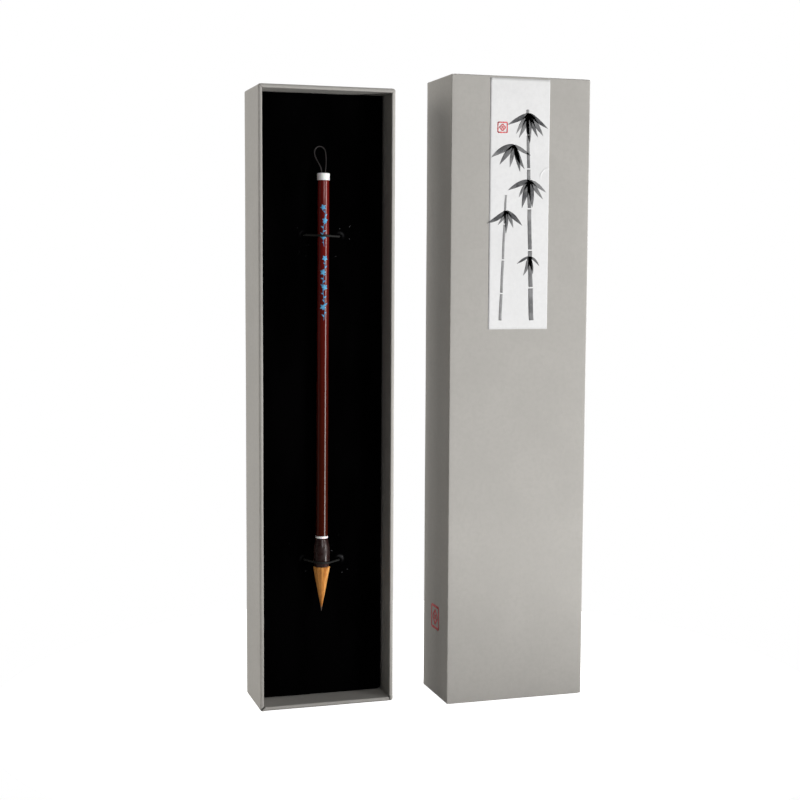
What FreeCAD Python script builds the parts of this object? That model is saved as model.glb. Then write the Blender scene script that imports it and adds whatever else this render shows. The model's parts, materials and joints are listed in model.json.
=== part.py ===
import FreeCAD, Part
import math
import os

# Gift box for one calligraphy brush, set out upright: the open tray on the left, its lid on the right.
# Millimetres. +Z is up along the boxes, +X to the right, -Y towards the viewer.
# The origin is on the ground, at the middle of the whole set-out.

Vector = FreeCAD.Vector
ALONG_X = Vector(1, 0, 0)
ALONG_Z = Vector(0, 0, 1)
SAME = 1e-6                  # lengths and slopes closer than this are alike

# Box materials
board = 1.5                  # greyboard thickness
paper = 0.2                  # wrapping and lining paper
stay_tape = 0.1              # paper tape that holds the corners of the boards
stay_leg = 12.0              # how far a corner stay reaches round each side of its corner
stay_setback = 3.0           # bare board between the rim and a corner stay
corner_radius = 1.2          # pressed outer corners of a wrapped box
fold_radius = 0.6            # wrap folded over the rim and round the closed panel
tray_turn_in = 21.0          # wrap turned down the inside of the tray
lid_turn_in = 17.0           # wrap turned down the inside of the lid

# Fits
lid_clearance = 0.4          # lid to tray, at each long side
lid_end_clearance = 1.4      # lid to tray, at each end
lid_headroom = 3.5           # air between the tray's rim and the inside of the lid's face
insert_clearance = 0.3       # insert to the lined walls of the tray
brush_clearance = 0.3        # brush to the velvet and to the elastic bands
glue_line = 0.05             # between turned pieces of the brush

# Room inside the tray
tray_inner_width = 66.2
recess = 13.6                # velvet below the rim
insert_depth = 18.5          # foam and velvet together
room_below_tip = 45.45
room_above_loop = 26.09

# Insert
velvet = 0.6
insert_shoulder = 2.0        # rounded front edges of the padded insert
insert_corner = 1.5
insert_crown = 0.6           # rise of the velvet between its long edges

# Elastic bands
band_radius = 0.42
band_span = 18.4             # between the two holes of a band
band_shift = 0.25            # middle of the holes, right of the tray's middle
band_bend = 1.6              # centre line radius where a band enters or leaves a hole
band_channel = 0.1           # foam and velvet to band
knot_setback = 0.2           # knot below the back of the foam
knot_radius = 1.2
knot_length = 2.8
band_end = 0.85              # a band's ends stop inside its knot, beside its middle
lower_band_on_ferrule = 2.6  # above the ferrule's mouth
upper_band_below_cap = 27.7  # below the top of the barrel

# Brush, turned pieces
hair_length = 23.5           # from the ferrule's mouth to the tip
hair_belly_radius = 4.1
hair_belly_drop = 1.2        # widest place of the hair, below the ferrule's mouth
hair_point_length = 4.0      # slender last stretch of the tip
hair_point_radius = 0.6
hair_fullness = 0.51         # half-way radius over the sum of its ends: 0.5 is a straight cone
hair_root_depth = 8.6        # hair inside the ferrule
ferrule_length = 14.65
ferrule_top_radius = 3.1
ferrule_radius = 4.2
ferrule_wall = 0.6
ferrule_swell_drop = 6.5     # widest place of the ferrule, below its top
ferrule_bell = 0.64          # share of the swelling reached half-way to the widest place
ring_height = 1.35
ring_radius = 3.25
barrel_length = 180.6
barrel_foot_radius = 3.05
barrel_top_radius = 2.9
tenon_radius = 2.1
tenon_depth = 4.4            # barrel's tenon inside the ferrule
cap_height = 3.55
cap_radius = 3.2
cap_edge = 0.3
thread_band = 1.8            # thread wound round the root of the hair
thread_depth = 0.4
thread_height = 5.2          # thread above the ferrule's mouth

# Brush, hanging loop
loop_radius = 0.36
loop_leg_spread = 1.0        # each leg beside the brush's axis
loop_bore_radius = 1.45
loop_leg_depth = 8.0         # legs inside the barrel
peg_thickness = 1.1
peg_width = 2.0

# Label on the lid's face
label_width = 32.2
label_length = 126.0
label_thickness = 0.12
label_shift = -0.9           # beside the middle of the face
label_drop = 0.4             # below the top edge of the face

# Set-out
side_gap = 24.5              # between the tray and the lid
lid_forward = 14.5           # lid's face in front of the tray's rim
brush_lean = 0.34            # degrees, towards the lid at the cap
tip_shift = -1.05            # hair's tip beside the middle of the tray

# Hanging loop: points of its route beside the brush's axis, towards the velvet and above the cap
loop_route = [
    (-1.00, 0.00, 0.0),
    (-1.00, 0.00, 1.2),
    (-1.38, 0.22, 2.9),
    (-2.45, 0.80, 5.2),
    (-3.75, 1.50, 7.6),
    (-4.25, 2.10, 9.9),
    (-4.05, 2.45, 11.5),
    (-3.00, 2.80, 13.05),
    (-1.28, 2.90, 13.65),
    (0.44, 2.80, 13.05),
    (1.50, 2.45, 11.5),
    (1.68, 1.75, 8.6),
    (1.52, 0.95, 5.3),
    (1.20, 0.30, 2.9),
    (1.00, 0.00, 1.2),
    (1.00, 0.00, 0.0),
]
loop_arc_share = 0.45        # share of the shorter run that a bend takes

# Sizes that follow
side_wall = paper + stay_tape + board + paper
closed_wall = paper + board + paper
brush_length = hair_length + ferrule_length + ring_height + barrel_length + cap_height
loop_height = max(point[2] for point in loop_route) + loop_radius
tray_inner_length = room_below_tip + brush_length + loop_height + room_above_loop
tray_width = tray_inner_width + 2 * side_wall
tray_length = tray_inner_length + 2 * side_wall
tray_depth = recess + insert_depth + closed_wall
lid_width = tray_width + 2 * (lid_clearance + side_wall)
lid_length = tray_length + 2 * (lid_end_clearance + side_wall)
lid_depth = tray_depth + lid_headroom + closed_wall

# Places that follow
set_out_width = tray_width + side_gap + lid_width
set_out_depth = label_thickness + max(lid_forward + tray_depth, lid_depth)
tray_x = (tray_width - set_out_width) / 2
lid_x = (set_out_width - lid_width) / 2
lid_face_y = label_thickness - set_out_depth / 2
tray_rim_y = lid_face_y + lid_forward
velvet_y = tray_rim_y + recess
insert_back_y = velvet_y + insert_depth

# Heights along the brush, from the tip of the hair
mouth = hair_length
ferrule_top = mouth + ferrule_length
ring_top = ferrule_top + ring_height
barrel_top = ring_top + barrel_length
cap_top = barrel_top + cap_height

# The brush lies on its ferrule and on its cap, so its axis tips a little towards the velvet at the cap.
swell = ferrule_top - ferrule_swell_drop
brush_tip_in = (ferrule_radius - cap_radius) / (cap_top - swell)
brush_axis = Vector(math.tan(math.radians(brush_lean)), brush_tip_in, 1)
brush_axis.normalize()
tip = Vector(
    tray_x + tip_shift,
    velvet_y - brush_clearance - ferrule_radius - brush_tip_in * swell,
    side_wall + room_below_tip,
)
brush_place = FreeCAD.Placement(tip, FreeCAD.Rotation(ALONG_Z, brush_axis))


def on_axis(height):
    """Point on the brush's axis at a height above the tip."""
    return tip + brush_axis * height


def line(start, end):
    return Part.LineSegment(Vector(*start), Vector(*end)).toShape()


def arc(start, middle, end):
    return Part.Arc(Vector(*start), Vector(*middle), Vector(*end)).toShape()


def slab(x, y, z):
    """Box between the two values given along each axis."""
    return Part.makeBox(x[1] - x[0], y[1] - y[0], z[1] - z[0], Vector(x[0], y[0], z[0]))


def prism(outline, y):
    """Outline of (x, z) points carried along Y between two values."""
    points = [Vector(x, y[0], z) for x, z in outline]
    face = Part.Face(Part.makePolygon(points + points[:1]))
    return face.extrude(Vector(0, y[1] - y[0], 0))


def turned(*edges):
    """Solid turned about Z from an outline of edges in the XZ plane."""
    return Part.Face(Part.Wire(edges)).revolve(Vector(0, 0, 0), ALONG_Z, 360)


def turned_polygon(outline):
    """Solid turned about Z from an outline of (radius, height) points."""
    points = [Vector(radius, 0, height) for radius, height in outline]
    return Part.Face(Part.makePolygon(points + points[:1])).revolve(Vector(0, 0, 0), ALONG_Z, 360)


def swept(path, radius):
    """Round cord of one radius along a path of edges."""
    wire = Part.Wire(path)
    start = path[0].valueAt(path[0].FirstParameter)
    along = path[0].tangentAt(path[0].FirstParameter)
    section = Part.Wire(Part.Circle(start, along, radius).toShape())
    return wire.makePipeShell([section], True, False)


# Wrapped boxes, made with the rim at y = 0, the closed panel at y = depth and the lower end on z = 0


def edges_along_y(shape):
    return [edge for edge in shape.Edges if abs(edge.tangentAt(edge.FirstParameter).y) > 1 - SAME]


def edges_at_y(shape, y):
    return [edge for edge in shape.Edges if all(abs(vertex.Y - y) < SAME for vertex in edge.Vertexes)]


def rounded_block(width, length, inset, y, corner, fold):
    """Block set in from a box's sides, with its four corners and both ends' edges rounded."""
    block = slab((inset - width / 2, width / 2 - inset), y, (inset, length - inset))
    block = block.makeFillet(corner, edges_along_y(block))
    return block.makeFillet(fold, edges_at_y(block, y[0]) + edges_at_y(block, y[1]))


def hollow(width, length, inset, y):
    """Square-cornered space set in from a box's sides."""
    return slab((inset - width / 2, width / 2 - inset), y, (inset, length - inset))


def rounded_mouth(shell, y, rim_width, radius):
    """Open shell with the inner edges of its rim rounded."""
    around = shell.BoundBox
    around.enlarge(-rim_width / 2)
    inner = [
        edge for edge in edges_at_y(shell, y)
        if around.XMin < edge.BoundBox.XMin and edge.BoundBox.XMax < around.XMax
        and around.ZMin < edge.BoundBox.ZMin and edge.BoundBox.ZMax < around.ZMax
    ]
    return shell.makeFillet(radius, inner)


def wrapped_box(width, length, depth, turn_in):
    """Boards, corner stays, paper wrap and liner of one open box."""
    board_out = paper + stay_tape
    board_in = board_out + board
    panel_y = depth - paper - board
    liner_y = panel_y - paper
    board_fold = fold_radius - paper
    beyond = depth + length

    # Boards: one shell, cut at its butt joints into the closed panel, two long walls and two ends between
    board_block = rounded_block(width, length, board_out, (paper, depth - paper),
                                corner_radius - board_out, board_fold)
    board_void = hollow(width, length, board_in, (-beyond, panel_y))
    boards = rounded_mouth(board_block.cut(board_void), paper, board, board_fold)
    inner_half = width / 2 - board_in
    everywhere = (-beyond, beyond)
    walls = boards.common(slab(everywhere, (-beyond, panel_y), everywhere))
    ends = walls.common(slab((-inner_half, inner_half), everywhere, everywhere))
    pieces = {
        "panel_board": boards.common(slab(everywhere, (panel_y, beyond), everywhere)),
        "left_board": walls.common(slab((-beyond, -inner_half), everywhere, everywhere)),
        "right_board": walls.common(slab((inner_half, beyond), everywhere, everywhere)),
        "bottom_board": ends.common(slab(everywhere, everywhere, (-beyond, length / 2))),
        "top_board": ends.common(slab(everywhere, everywhere, (length / 2, beyond))),
    }

    # Corner stays: the thin space between boards and wrap, kept near the four corners
    wrap_space = rounded_block(width, length, paper, (paper, depth - paper),
                               corner_radius - paper, board_fold)
    stay_layer = wrap_space.cut(board_block)
    stays = []
    for x in ((-beyond, stay_leg - width / 2), (width / 2 - stay_leg, beyond)):
        for z in ((-beyond, stay_leg), (length - stay_leg, beyond)):
            zone = slab(x, (stay_setback, depth - stay_setback), z)
            stays.extend(stay_layer.common(zone).Solids)
    pieces["corner_stays"] = Part.Compound(stays)

    # Wrap: outside, over the rim and down the inside as far as the turn-in
    outside = rounded_block(width, length, 0, (0, depth), corner_radius, fold_radius)
    mouth_void = hollow(width, length, side_wall, (-beyond, turn_in))
    lined_void = hollow(width, length, board_in, (turn_in, panel_y))
    wrapped_walls = rounded_mouth(wrap_space.cut(board_void), paper, board, board_fold)
    sheet = rounded_mouth(outside.cut(mouth_void), 0, side_wall, fold_radius)
    sheet = sheet.cut(wrapped_walls).cut(lined_void)

    # The sheet is creased at its folds into four mitred sides and the closed panel.
    crease_y = depth - fold_radius
    pieces["wrap"] = Part.Compound(creased(sheet, width, length, crease_y, beyond))

    # Liner: covers the boards from the turn-in's edge down, and the closed panel
    pieces["liner"] = lined_void.cut(hollow(width, length, side_wall, (-beyond, liner_y)))
    return pieces


def creased(sheet, width, length, crease_y, beyond):
    """Panels of a folded sheet: left, right, bottom and top sides meeting in mitres, and the closed panel."""
    half = width / 2
    left = [(-half - beyond, -beyond), (0, half), (0, length - half), (-half - beyond, length + beyond)]
    right = [(-x, z) for x, z in left]
    bottom = [(-half - beyond, -beyond), (half + beyond, -beyond), (0, half)]
    top = [(x, length - z) for x, z in bottom]
    panels = []
    for outline in (left, right, bottom, top):
        panels.extend(sheet.common(prism(outline, (-beyond, crease_y))).Solids)
    everywhere = (-2 * beyond, 2 * beyond)
    panels.extend(sheet.common(slab(everywhere, (crease_y, beyond), everywhere)).Solids)
    return panels


def make_tray():
    pieces = wrapped_box(tray_width, tray_length, tray_depth, tray_turn_in)
    place = FreeCAD.Placement(Vector(tray_x, tray_rim_y, 0), FreeCAD.Rotation())
    names = {"panel_board": "back_board"}
    return {"tray_" + names.get(name, name): moved(shape, place) for name, shape in pieces.items()}


def make_lid():
    pieces = wrapped_box(lid_width, lid_length, lid_depth, lid_turn_in)
    half_turn = FreeCAD.Rotation(ALONG_Z, 180)
    place = FreeCAD.Placement(Vector(lid_x, lid_face_y + lid_depth, 0), half_turn)
    names = {"panel_board": "face_board", "left_board": "right_board", "right_board": "left_board"}
    lid = {"lid_" + names.get(name, name): moved(shape, place) for name, shape in pieces.items()}
    label_x = lid_x + label_shift
    label_top = lid_length - fold_radius - label_drop
    lid["lid_label"] = slab(
        (label_x - label_width / 2, label_x + label_width / 2),
        (lid_face_y - label_thickness, lid_face_y),
        (label_top - label_length, label_top),
    )
    return lid


def moved(shape, place):
    shape = shape.copy()
    shape.Placement = place.multiply(shape.Placement)
    return shape


# Insert and its elastic bands


def padded_block(inset):
    """Crowned block: a section across X and one along Z, both with rounded shoulders, and rounded corners."""
    half = tray_inner_width / 2 - insert_clearance - inset
    low = side_wall + insert_clearance + inset
    high = tray_length - low
    front = velvet_y + inset
    edge = front + insert_crown
    shoulder = insert_shoulder
    mid = shoulder * (1 - math.sqrt(0.5))
    left = tray_x - half
    right = tray_x + half
    across = [
        line((left, insert_back_y, 0), (left, edge + shoulder, 0)),
        arc((left, edge + shoulder, 0), (left + mid, edge + mid, 0), (left + shoulder, edge, 0)),
        arc((left + shoulder, edge, 0), (tray_x, front, 0), (right - shoulder, edge, 0)),
        arc((right - shoulder, edge, 0), (right - mid, edge + mid, 0), (right, edge + shoulder, 0)),
        line((right, edge + shoulder, 0), (right, insert_back_y, 0)),
        line((right, insert_back_y, 0), (left, insert_back_y, 0)),
    ]
    along = [
        line((0, insert_back_y, low), (0, front + shoulder, low)),
        arc((0, front + shoulder, low), (0, front + mid, low + mid), (0, front, low + shoulder)),
        line((0, front, low + shoulder), (0, front, high - shoulder)),
        arc((0, front, high - shoulder), (0, front + mid, high - mid), (0, front + shoulder, high)),
        line((0, front + shoulder, high), (0, insert_back_y, high)),
        line((0, insert_back_y, high), (0, insert_back_y, low)),
    ]
    section_across = Part.Face(Part.Wire(across)).extrude(Vector(0, 0, tray_length))
    section_along = Part.Face(Part.Wire(along)).extrude(Vector(2 * tray_width, 0, 0))
    section_along.translate(Vector(tray_x - tray_width, 0, 0))
    block = slab((left, right), (velvet_y - recess, insert_back_y), (low, high))
    block = block.makeFillet(insert_corner, edges_along_y(block))
    return block.common(section_across).common(section_along)


def band_half(side, height, brush_radius):
    """One half of a band's centre line, from its knot behind the foam and out of a hole to the brush."""
    brush_at = on_axis(height)
    z = brush_at.z
    reach = brush_radius + brush_clearance + band_radius
    middle = tray_x + band_shift
    behind = insert_back_y - knot_setback - knot_radius
    hole = middle + side * band_span / 2
    bend = hole - side * band_bend
    span_x = abs(brush_at.x - bend)
    rise = velvet_y - brush_at.y
    slope = math.atan2(rise, span_x) + math.asin((reach - band_bend) / math.hypot(rise, span_x))
    turn = math.pi / 2 - slope

    def at(centre_x, centre_y, radius, angle):
        return (centre_x + side * radius * math.cos(angle), centre_y - radius * math.sin(angle), z)

    start = (middle + side * band_end, behind, z)
    corner_in = (bend, behind, z)
    corner_mid = at(bend, behind - band_bend, band_bend, -math.pi / 4)
    corner_out = (hole, behind - band_bend, z)
    surface = (hole, velvet_y, z)
    surface_mid = at(bend, velvet_y, band_bend, turn / 2)
    leave = at(bend, velvet_y, band_bend, turn)
    meets_brush = at(brush_at.x, brush_at.y, reach, turn)
    return [
        (line, (start, corner_in)),
        (arc, (corner_in, corner_mid, corner_out)),
        (line, (corner_out, surface)),
        (arc, (surface, surface_mid, leave)),
        (line, (leave, meets_brush)),
    ]


def band_path(height, brush_radius):
    """Centre line of a band: from its knot behind the foam, out of one hole, over the brush and back."""
    left = band_half(-1, height, brush_radius)
    right = band_half(1, height, brush_radius)
    forward = [make(*points) for make, points in left]
    back = [make(*reversed(points)) for make, points in reversed(right)]
    brush_at = on_axis(height)
    over = (brush_at.x, brush_at.y - brush_radius - brush_clearance - band_radius, brush_at.z)
    meets_left = left[-1][1][-1]
    meets_right = right[-1][1][-1]
    return forward + [arc(meets_left, over, meets_right)] + back


def knot(height):
    """Tied ends of a band: a short barrel across the back of the foam."""
    z = on_axis(height).z
    middle = tray_x + band_shift
    half = knot_length / 2
    outline = [
        arc((-half, 0, 0), (0, knot_radius, 0), (half, 0, 0)),
        line((half, 0, 0), (-half, 0, 0)),
    ]
    bead = Part.Face(Part.Wire(outline)).revolve(Vector(0, 0, 0), ALONG_X, 360)
    bead.translate(Vector(middle, insert_back_y - knot_setback - knot_radius, z))
    return bead


def band_slot(height):
    """Open channel in the back of the foam for a band and its knot."""
    z = on_axis(height).z
    middle = tray_x + band_shift
    width = band_radius + band_channel
    depth = knot_setback + knot_radius
    run = slab((middle - band_span / 2, middle + band_span / 2), (insert_back_y - depth, insert_back_y),
               (z - width, z + width))
    pocket_half = knot_length / 2 + band_channel
    pocket_width = knot_radius + band_channel
    pocket = slab((middle - pocket_half, middle + pocket_half),
                  (insert_back_y - knot_setback - 2 * knot_radius - band_channel, insert_back_y),
                  (z - pocket_width, z + pocket_width))
    return run.fuse(pocket)


def make_insert():
    cover = padded_block(0)
    foam = padded_block(velvet)
    cover = cover.cut(foam)
    insert = {}
    widest = max(ferrule_radius, ring_radius, hair_belly_radius)
    bands = {
        "lower_band": (mouth + lower_band_on_ferrule, widest),
        "upper_band": (barrel_top - upper_band_below_cap, barrel_foot_radius),
    }
    for name, (height, brush_radius) in bands.items():
        path = band_path(height, brush_radius)
        channel = swept(path, band_radius + band_channel)
        foam = foam.cut(channel).cut(band_slot(height))
        cover = cover.cut(channel)
        insert[name] = swept(path, band_radius).fuse(knot(height))
    insert["insert_foam"] = foam
    insert["insert_velvet"] = cover
    return insert


# Brush, made upright with the tip of the hair at the origin


def make_barrel():
    shoulder = ring_top
    barrel = turned_polygon([
        (0, ferrule_top - tenon_depth),
        (tenon_radius, ferrule_top - tenon_depth),
        (tenon_radius, shoulder),
        (barrel_foot_radius, shoulder),
        (barrel_top_radius, barrel_top),
        (0, barrel_top),
    ])
    depth = loop_leg_depth
    return barrel.cut(Part.makeCylinder(loop_bore_radius, depth, Vector(0, 0, barrel_top - depth)))


def make_cap():
    cap = Part.makeCylinder(cap_radius, cap_height, Vector(0, 0, barrel_top))
    cap = cap.makeFillet(cap_edge, [edge for edge in cap.Edges if len(edge.Vertexes) == 1])
    return cap.cut(Part.makeCylinder(loop_bore_radius, cap_height, Vector(0, 0, barrel_top)))


def make_ring():
    bore = tenon_radius + glue_line
    edge = (barrel_foot_radius + ring_radius) / 2
    low = ferrule_top
    high = ring_top
    return turned(
        line((bore, 0, low), (edge, 0, low)),
        arc((edge, 0, low), (ring_radius, 0, (low + high) / 2), (edge, 0, high)),
        line((edge, 0, high), (bore, 0, high)),
        line((bore, 0, high), (bore, 0, low)),
    )


def make_ferrule():
    socket = ferrule_radius - ferrule_wall
    tenon_bore = tenon_radius + glue_line
    tenon_floor = ferrule_top - tenon_depth - glue_line
    socket_top = mouth + hair_root_depth + glue_line
    mouth_radius = (ferrule_radius + hair_belly_radius) / 2
    mid_height = (ferrule_top + swell) / 2
    mid_radius = ferrule_top_radius + ferrule_bell * (ferrule_radius - ferrule_top_radius)
    return turned(
        line((socket, 0, mouth), (mouth_radius, 0, mouth)),
        line((mouth_radius, 0, mouth), (ferrule_radius, 0, swell)),
        arc((ferrule_radius, 0, swell), (mid_radius, 0, mid_height), (ferrule_top_radius, 0, ferrule_top)),
        line((ferrule_top_radius, 0, ferrule_top), (tenon_bore, 0, ferrule_top)),
        line((tenon_bore, 0, ferrule_top), (tenon_bore, 0, tenon_floor)),
        line((tenon_bore, 0, tenon_floor), (0, 0, tenon_floor)),
        line((0, 0, tenon_floor), (0, 0, socket_top)),
        line((0, 0, socket_top), (socket, 0, socket_top)),
        line((socket, 0, socket_top), (socket, 0, mouth)),
    )


def make_tuft():
    root = ferrule_radius - ferrule_wall - glue_line
    groove = root - thread_depth
    thread_low = mouth + thread_height
    thread_high = thread_low + thread_band
    belly = mouth - hair_belly_drop
    flank = (belly + hair_point_length) / 2
    flank_radius = hair_fullness * (hair_belly_radius + hair_point_radius)
    return turned(
        line((0, 0, mouth + hair_root_depth), (root, 0, mouth + hair_root_depth)),
        line((root, 0, mouth + hair_root_depth), (root, 0, thread_high)),
        line((root, 0, thread_high), (groove, 0, thread_high)),
        line((groove, 0, thread_high), (groove, 0, thread_low)),
        line((groove, 0, thread_low), (root, 0, thread_low)),
        line((root, 0, thread_low), (root, 0, mouth)),
        line((root, 0, mouth), (hair_belly_radius, 0, belly)),
        arc((hair_belly_radius, 0, belly), (flank_radius, 0, flank),
            (hair_point_radius, 0, hair_point_length)),
        line((hair_point_radius, 0, hair_point_length), (0, 0, 0)),
        line((0, 0, 0), (0, 0, mouth + hair_root_depth)),
    )


def make_thread():
    outer = ferrule_radius - ferrule_wall - glue_line
    inner = outer - thread_depth
    low = mouth + thread_height
    high = low + thread_band
    return turned_polygon([(inner, low), (outer, low), (outer, high), (inner, high)])


def loop_path():
    """Route of the hanging loop: straight runs joined by the largest tangent arcs; its radii are printed."""
    points = [Vector(x, y, cap_top + z) for x, y, z in loop_route]
    edges = []
    radii = []
    last = points[0]
    for before, corner, after in zip(points, points[1:], points[2:]):
        arrive = corner.sub(before)
        depart = after.sub(corner)
        cut_back = loop_arc_share * min(arrive.Length, depart.Length)
        half_turn = arrive.getAngle(depart) / 2
        radius = cut_back / math.tan(half_turn)
        arrive.normalize()
        depart.normalize()
        first = corner - arrive * cut_back
        second = corner + depart * cut_back
        inward = depart - arrive
        inward.normalize()
        middle = corner + inward * (radius / math.cos(half_turn) - radius)
        edges.append(Part.LineSegment(last, first).toShape())
        edges.append(Part.Arc(first, middle, second).toShape())
        radii.append(round(radius, 2))
        last = second
    edges.append(Part.LineSegment(last, points[-1]).toShape())
    print("hanging loop radii", radii)
    return edges


def make_loop():
    path = loop_path()
    tube = swept(path, loop_radius)
    length = sum(edge.Length for edge in path)
    print("hanging loop length", round(length, 2), "volume over section times length",
          round(tube.Volume / (math.pi * loop_radius ** 2 * length), 4))
    return tube


def make_loop_legs():
    foot = barrel_top - loop_leg_depth
    legs = [
        Part.makeCylinder(loop_radius, cap_top - foot, Vector(side * loop_leg_spread, 0, foot))
        for side in (-1, 1)
    ]
    return Part.Compound(legs)


def make_peg():
    half = peg_thickness / 2
    foot = barrel_top - loop_leg_depth
    outline = [(-half, cap_top), (half, cap_top), (half / 2, foot), (-half / 2, foot)]
    return prism(outline, (-peg_width / 2, peg_width / 2))


def make_brush():
    upright = {
        "brush_barrel": make_barrel(),
        "brush_cap": make_cap(),
        "brush_ring": make_ring(),
        "brush_ferrule": make_ferrule(),
        "hair_tuft": make_tuft(),
        "hair_thread": make_thread(),
        "hanging_loop": make_loop(),
        "loop_legs": make_loop_legs(),
        "loop_peg": make_peg(),
    }
    return {name: moved(shape, brush_place) for name, shape in upright.items()}


def main():
    os.makedirs("parts", exist_ok=True)
    nodes = {}
    for make in (make_tray, make_lid, make_insert, make_brush):
        nodes.update(make())
    for name, shape in nodes.items():
        shape.exportStep("parts/" + name + ".step")


main()
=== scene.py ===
import json
import math

import bmesh
import bpy
import numpy as np
from bpy.props import FloatProperty, FloatVectorProperty, IntProperty, PointerProperty
from mathutils import Matrix, Vector


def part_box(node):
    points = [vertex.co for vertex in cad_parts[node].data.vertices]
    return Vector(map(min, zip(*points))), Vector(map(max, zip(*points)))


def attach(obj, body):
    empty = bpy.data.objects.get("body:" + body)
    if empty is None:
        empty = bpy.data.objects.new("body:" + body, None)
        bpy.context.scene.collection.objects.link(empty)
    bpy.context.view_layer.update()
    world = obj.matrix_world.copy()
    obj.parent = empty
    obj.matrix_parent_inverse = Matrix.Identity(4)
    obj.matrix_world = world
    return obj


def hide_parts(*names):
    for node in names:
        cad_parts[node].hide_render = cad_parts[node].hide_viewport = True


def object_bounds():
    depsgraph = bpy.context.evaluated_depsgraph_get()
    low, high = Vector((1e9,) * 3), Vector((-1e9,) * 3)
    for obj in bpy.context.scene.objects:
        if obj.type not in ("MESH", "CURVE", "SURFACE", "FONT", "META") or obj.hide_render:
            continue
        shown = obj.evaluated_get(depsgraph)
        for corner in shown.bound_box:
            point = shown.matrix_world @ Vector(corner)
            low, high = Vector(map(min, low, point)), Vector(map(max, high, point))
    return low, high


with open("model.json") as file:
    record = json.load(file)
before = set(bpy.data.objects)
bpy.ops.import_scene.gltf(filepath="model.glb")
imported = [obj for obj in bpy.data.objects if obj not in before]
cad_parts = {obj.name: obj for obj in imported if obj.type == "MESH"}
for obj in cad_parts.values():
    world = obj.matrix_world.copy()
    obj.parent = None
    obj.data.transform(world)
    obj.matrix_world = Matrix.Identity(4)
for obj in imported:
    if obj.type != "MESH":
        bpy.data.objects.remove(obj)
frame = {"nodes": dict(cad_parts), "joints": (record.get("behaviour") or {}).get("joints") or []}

bl_info = {
    "name": "Brush gift box",
    "version": (1, 0, 0),
    "blender": (4, 5, 0),
    "location": "3D View > Sidebar > Gift box",
    "description": "Papers, velvet, elastic, lacquer, hair, cord and stage of a calligraphy brush gift box",
    "category": "Object",
}

MM = 0.001
CAD_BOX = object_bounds()


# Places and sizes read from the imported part


def box_of(node):
    """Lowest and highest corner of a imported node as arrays."""
    low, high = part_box(node)
    return np.array(low), np.array(high)


def places_in(mesh):
    """Places of a mesh's vertices, one a row."""
    flat = np.empty(len(mesh.vertices) * 3, np.float32)
    mesh.vertices.foreach_get("co", flat)
    return flat.reshape(-1, 3).astype(float)


def points_of(node):
    """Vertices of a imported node, one a row."""
    return places_in(frame["nodes"][node].data)


BRUSH_AXIS = np.array(next(j["axis"] for j in frame["joints"] if j["name"] == "brush_slide"), float)
BRUSH_AXIS /= np.linalg.norm(BRUSH_AXIS)
TUFT_POINTS = points_of("hair_tuft")
BRUSH_TIP = TUFT_POINTS[TUFT_POINTS[:, 2].argmin()]
BRUSH_TURN = np.array(Vector((0, 0, 1)).rotation_difference(Vector(BRUSH_AXIS)).to_matrix())


def along_brush(node):
    """Heights above the tip of the hair and distances from the brush's axis of a node's vertices."""
    away = points_of(node) - BRUSH_TIP
    heights = away @ BRUSH_AXIS
    return heights, np.linalg.norm(away - heights[:, None] * BRUSH_AXIS, axis=1)


def on_brush(points):
    """Points of an upright brush whose hair ends at the origin, turned and moved to their place."""
    return points @ BRUSH_TURN.T + BRUSH_TIP


def brush_ends(node):
    """Lowest and highest place of a node along the brush."""
    heights = along_brush(node)[0]
    return heights.min(), heights.max()


def brush_radius(node, height=None, pick=max):
    """Largest or smallest distance from the brush's axis of a node's vertices, all or those at a height."""
    heights, radii = along_brush(node)
    return pick(radii if height is None else radii[abs(heights - height) < 0.02 * MM])


MOUTH, FERRULE_TOP = brush_ends("brush_ferrule")
RING_TOP = brush_ends("brush_ring")[1]
BARREL_TOP, CAP_TOP = brush_ends("brush_cap")
TENON_FOOT = brush_ends("brush_barrel")[0]
LEGS_FOOT = brush_ends("loop_legs")[0]
ROOT_TOP = brush_ends("hair_tuft")[1]
THREAD_LOW, THREAD_HIGH = brush_ends("hair_thread")
FERRULE_RADIUS = brush_radius("brush_ferrule")
SOCKET_RADIUS = brush_radius("brush_ferrule", MOUTH, min)
RING_RADIUS = brush_radius("brush_ring")
TENON_RADIUS = brush_radius("brush_barrel", TENON_FOOT)
BARREL_FOOT_RADIUS = brush_radius("brush_barrel", RING_TOP)
BARREL_TOP_RADIUS = brush_radius("brush_barrel", BARREL_TOP)
CAP_RADIUS = brush_radius("brush_cap")
BORE_RADIUS = brush_radius("brush_cap", CAP_TOP, min)
ROOT_RADIUS = brush_radius("hair_tuft", ROOT_TOP)
THREAD_INNER = brush_radius("hair_thread", pick=min)
THREAD_OUTER = brush_radius("hair_thread")
GLUE = 0.05 * MM


# Settings that a user would change


def colour(label, red, green, blue, about):
    """Property for a linear colour."""
    return FloatVectorProperty(name=label, description=about, subtype="COLOR", min=0, max=1,
                               default=(red, green, blue))


def number(label, value, about, **kind):
    """Property for a number; kind gives its unit or subtype."""
    return FloatProperty(name=label, description=about, default=value, **kind)


def size(label, millimetres, about):
    """Property for a length."""
    return number(label, millimetres * MM, about, unit="LENGTH", precision=5)


def turn(label, degrees, about):
    """Property for an angle."""
    return number(label, math.radians(degrees), about, subtype="ANGLE")


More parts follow.
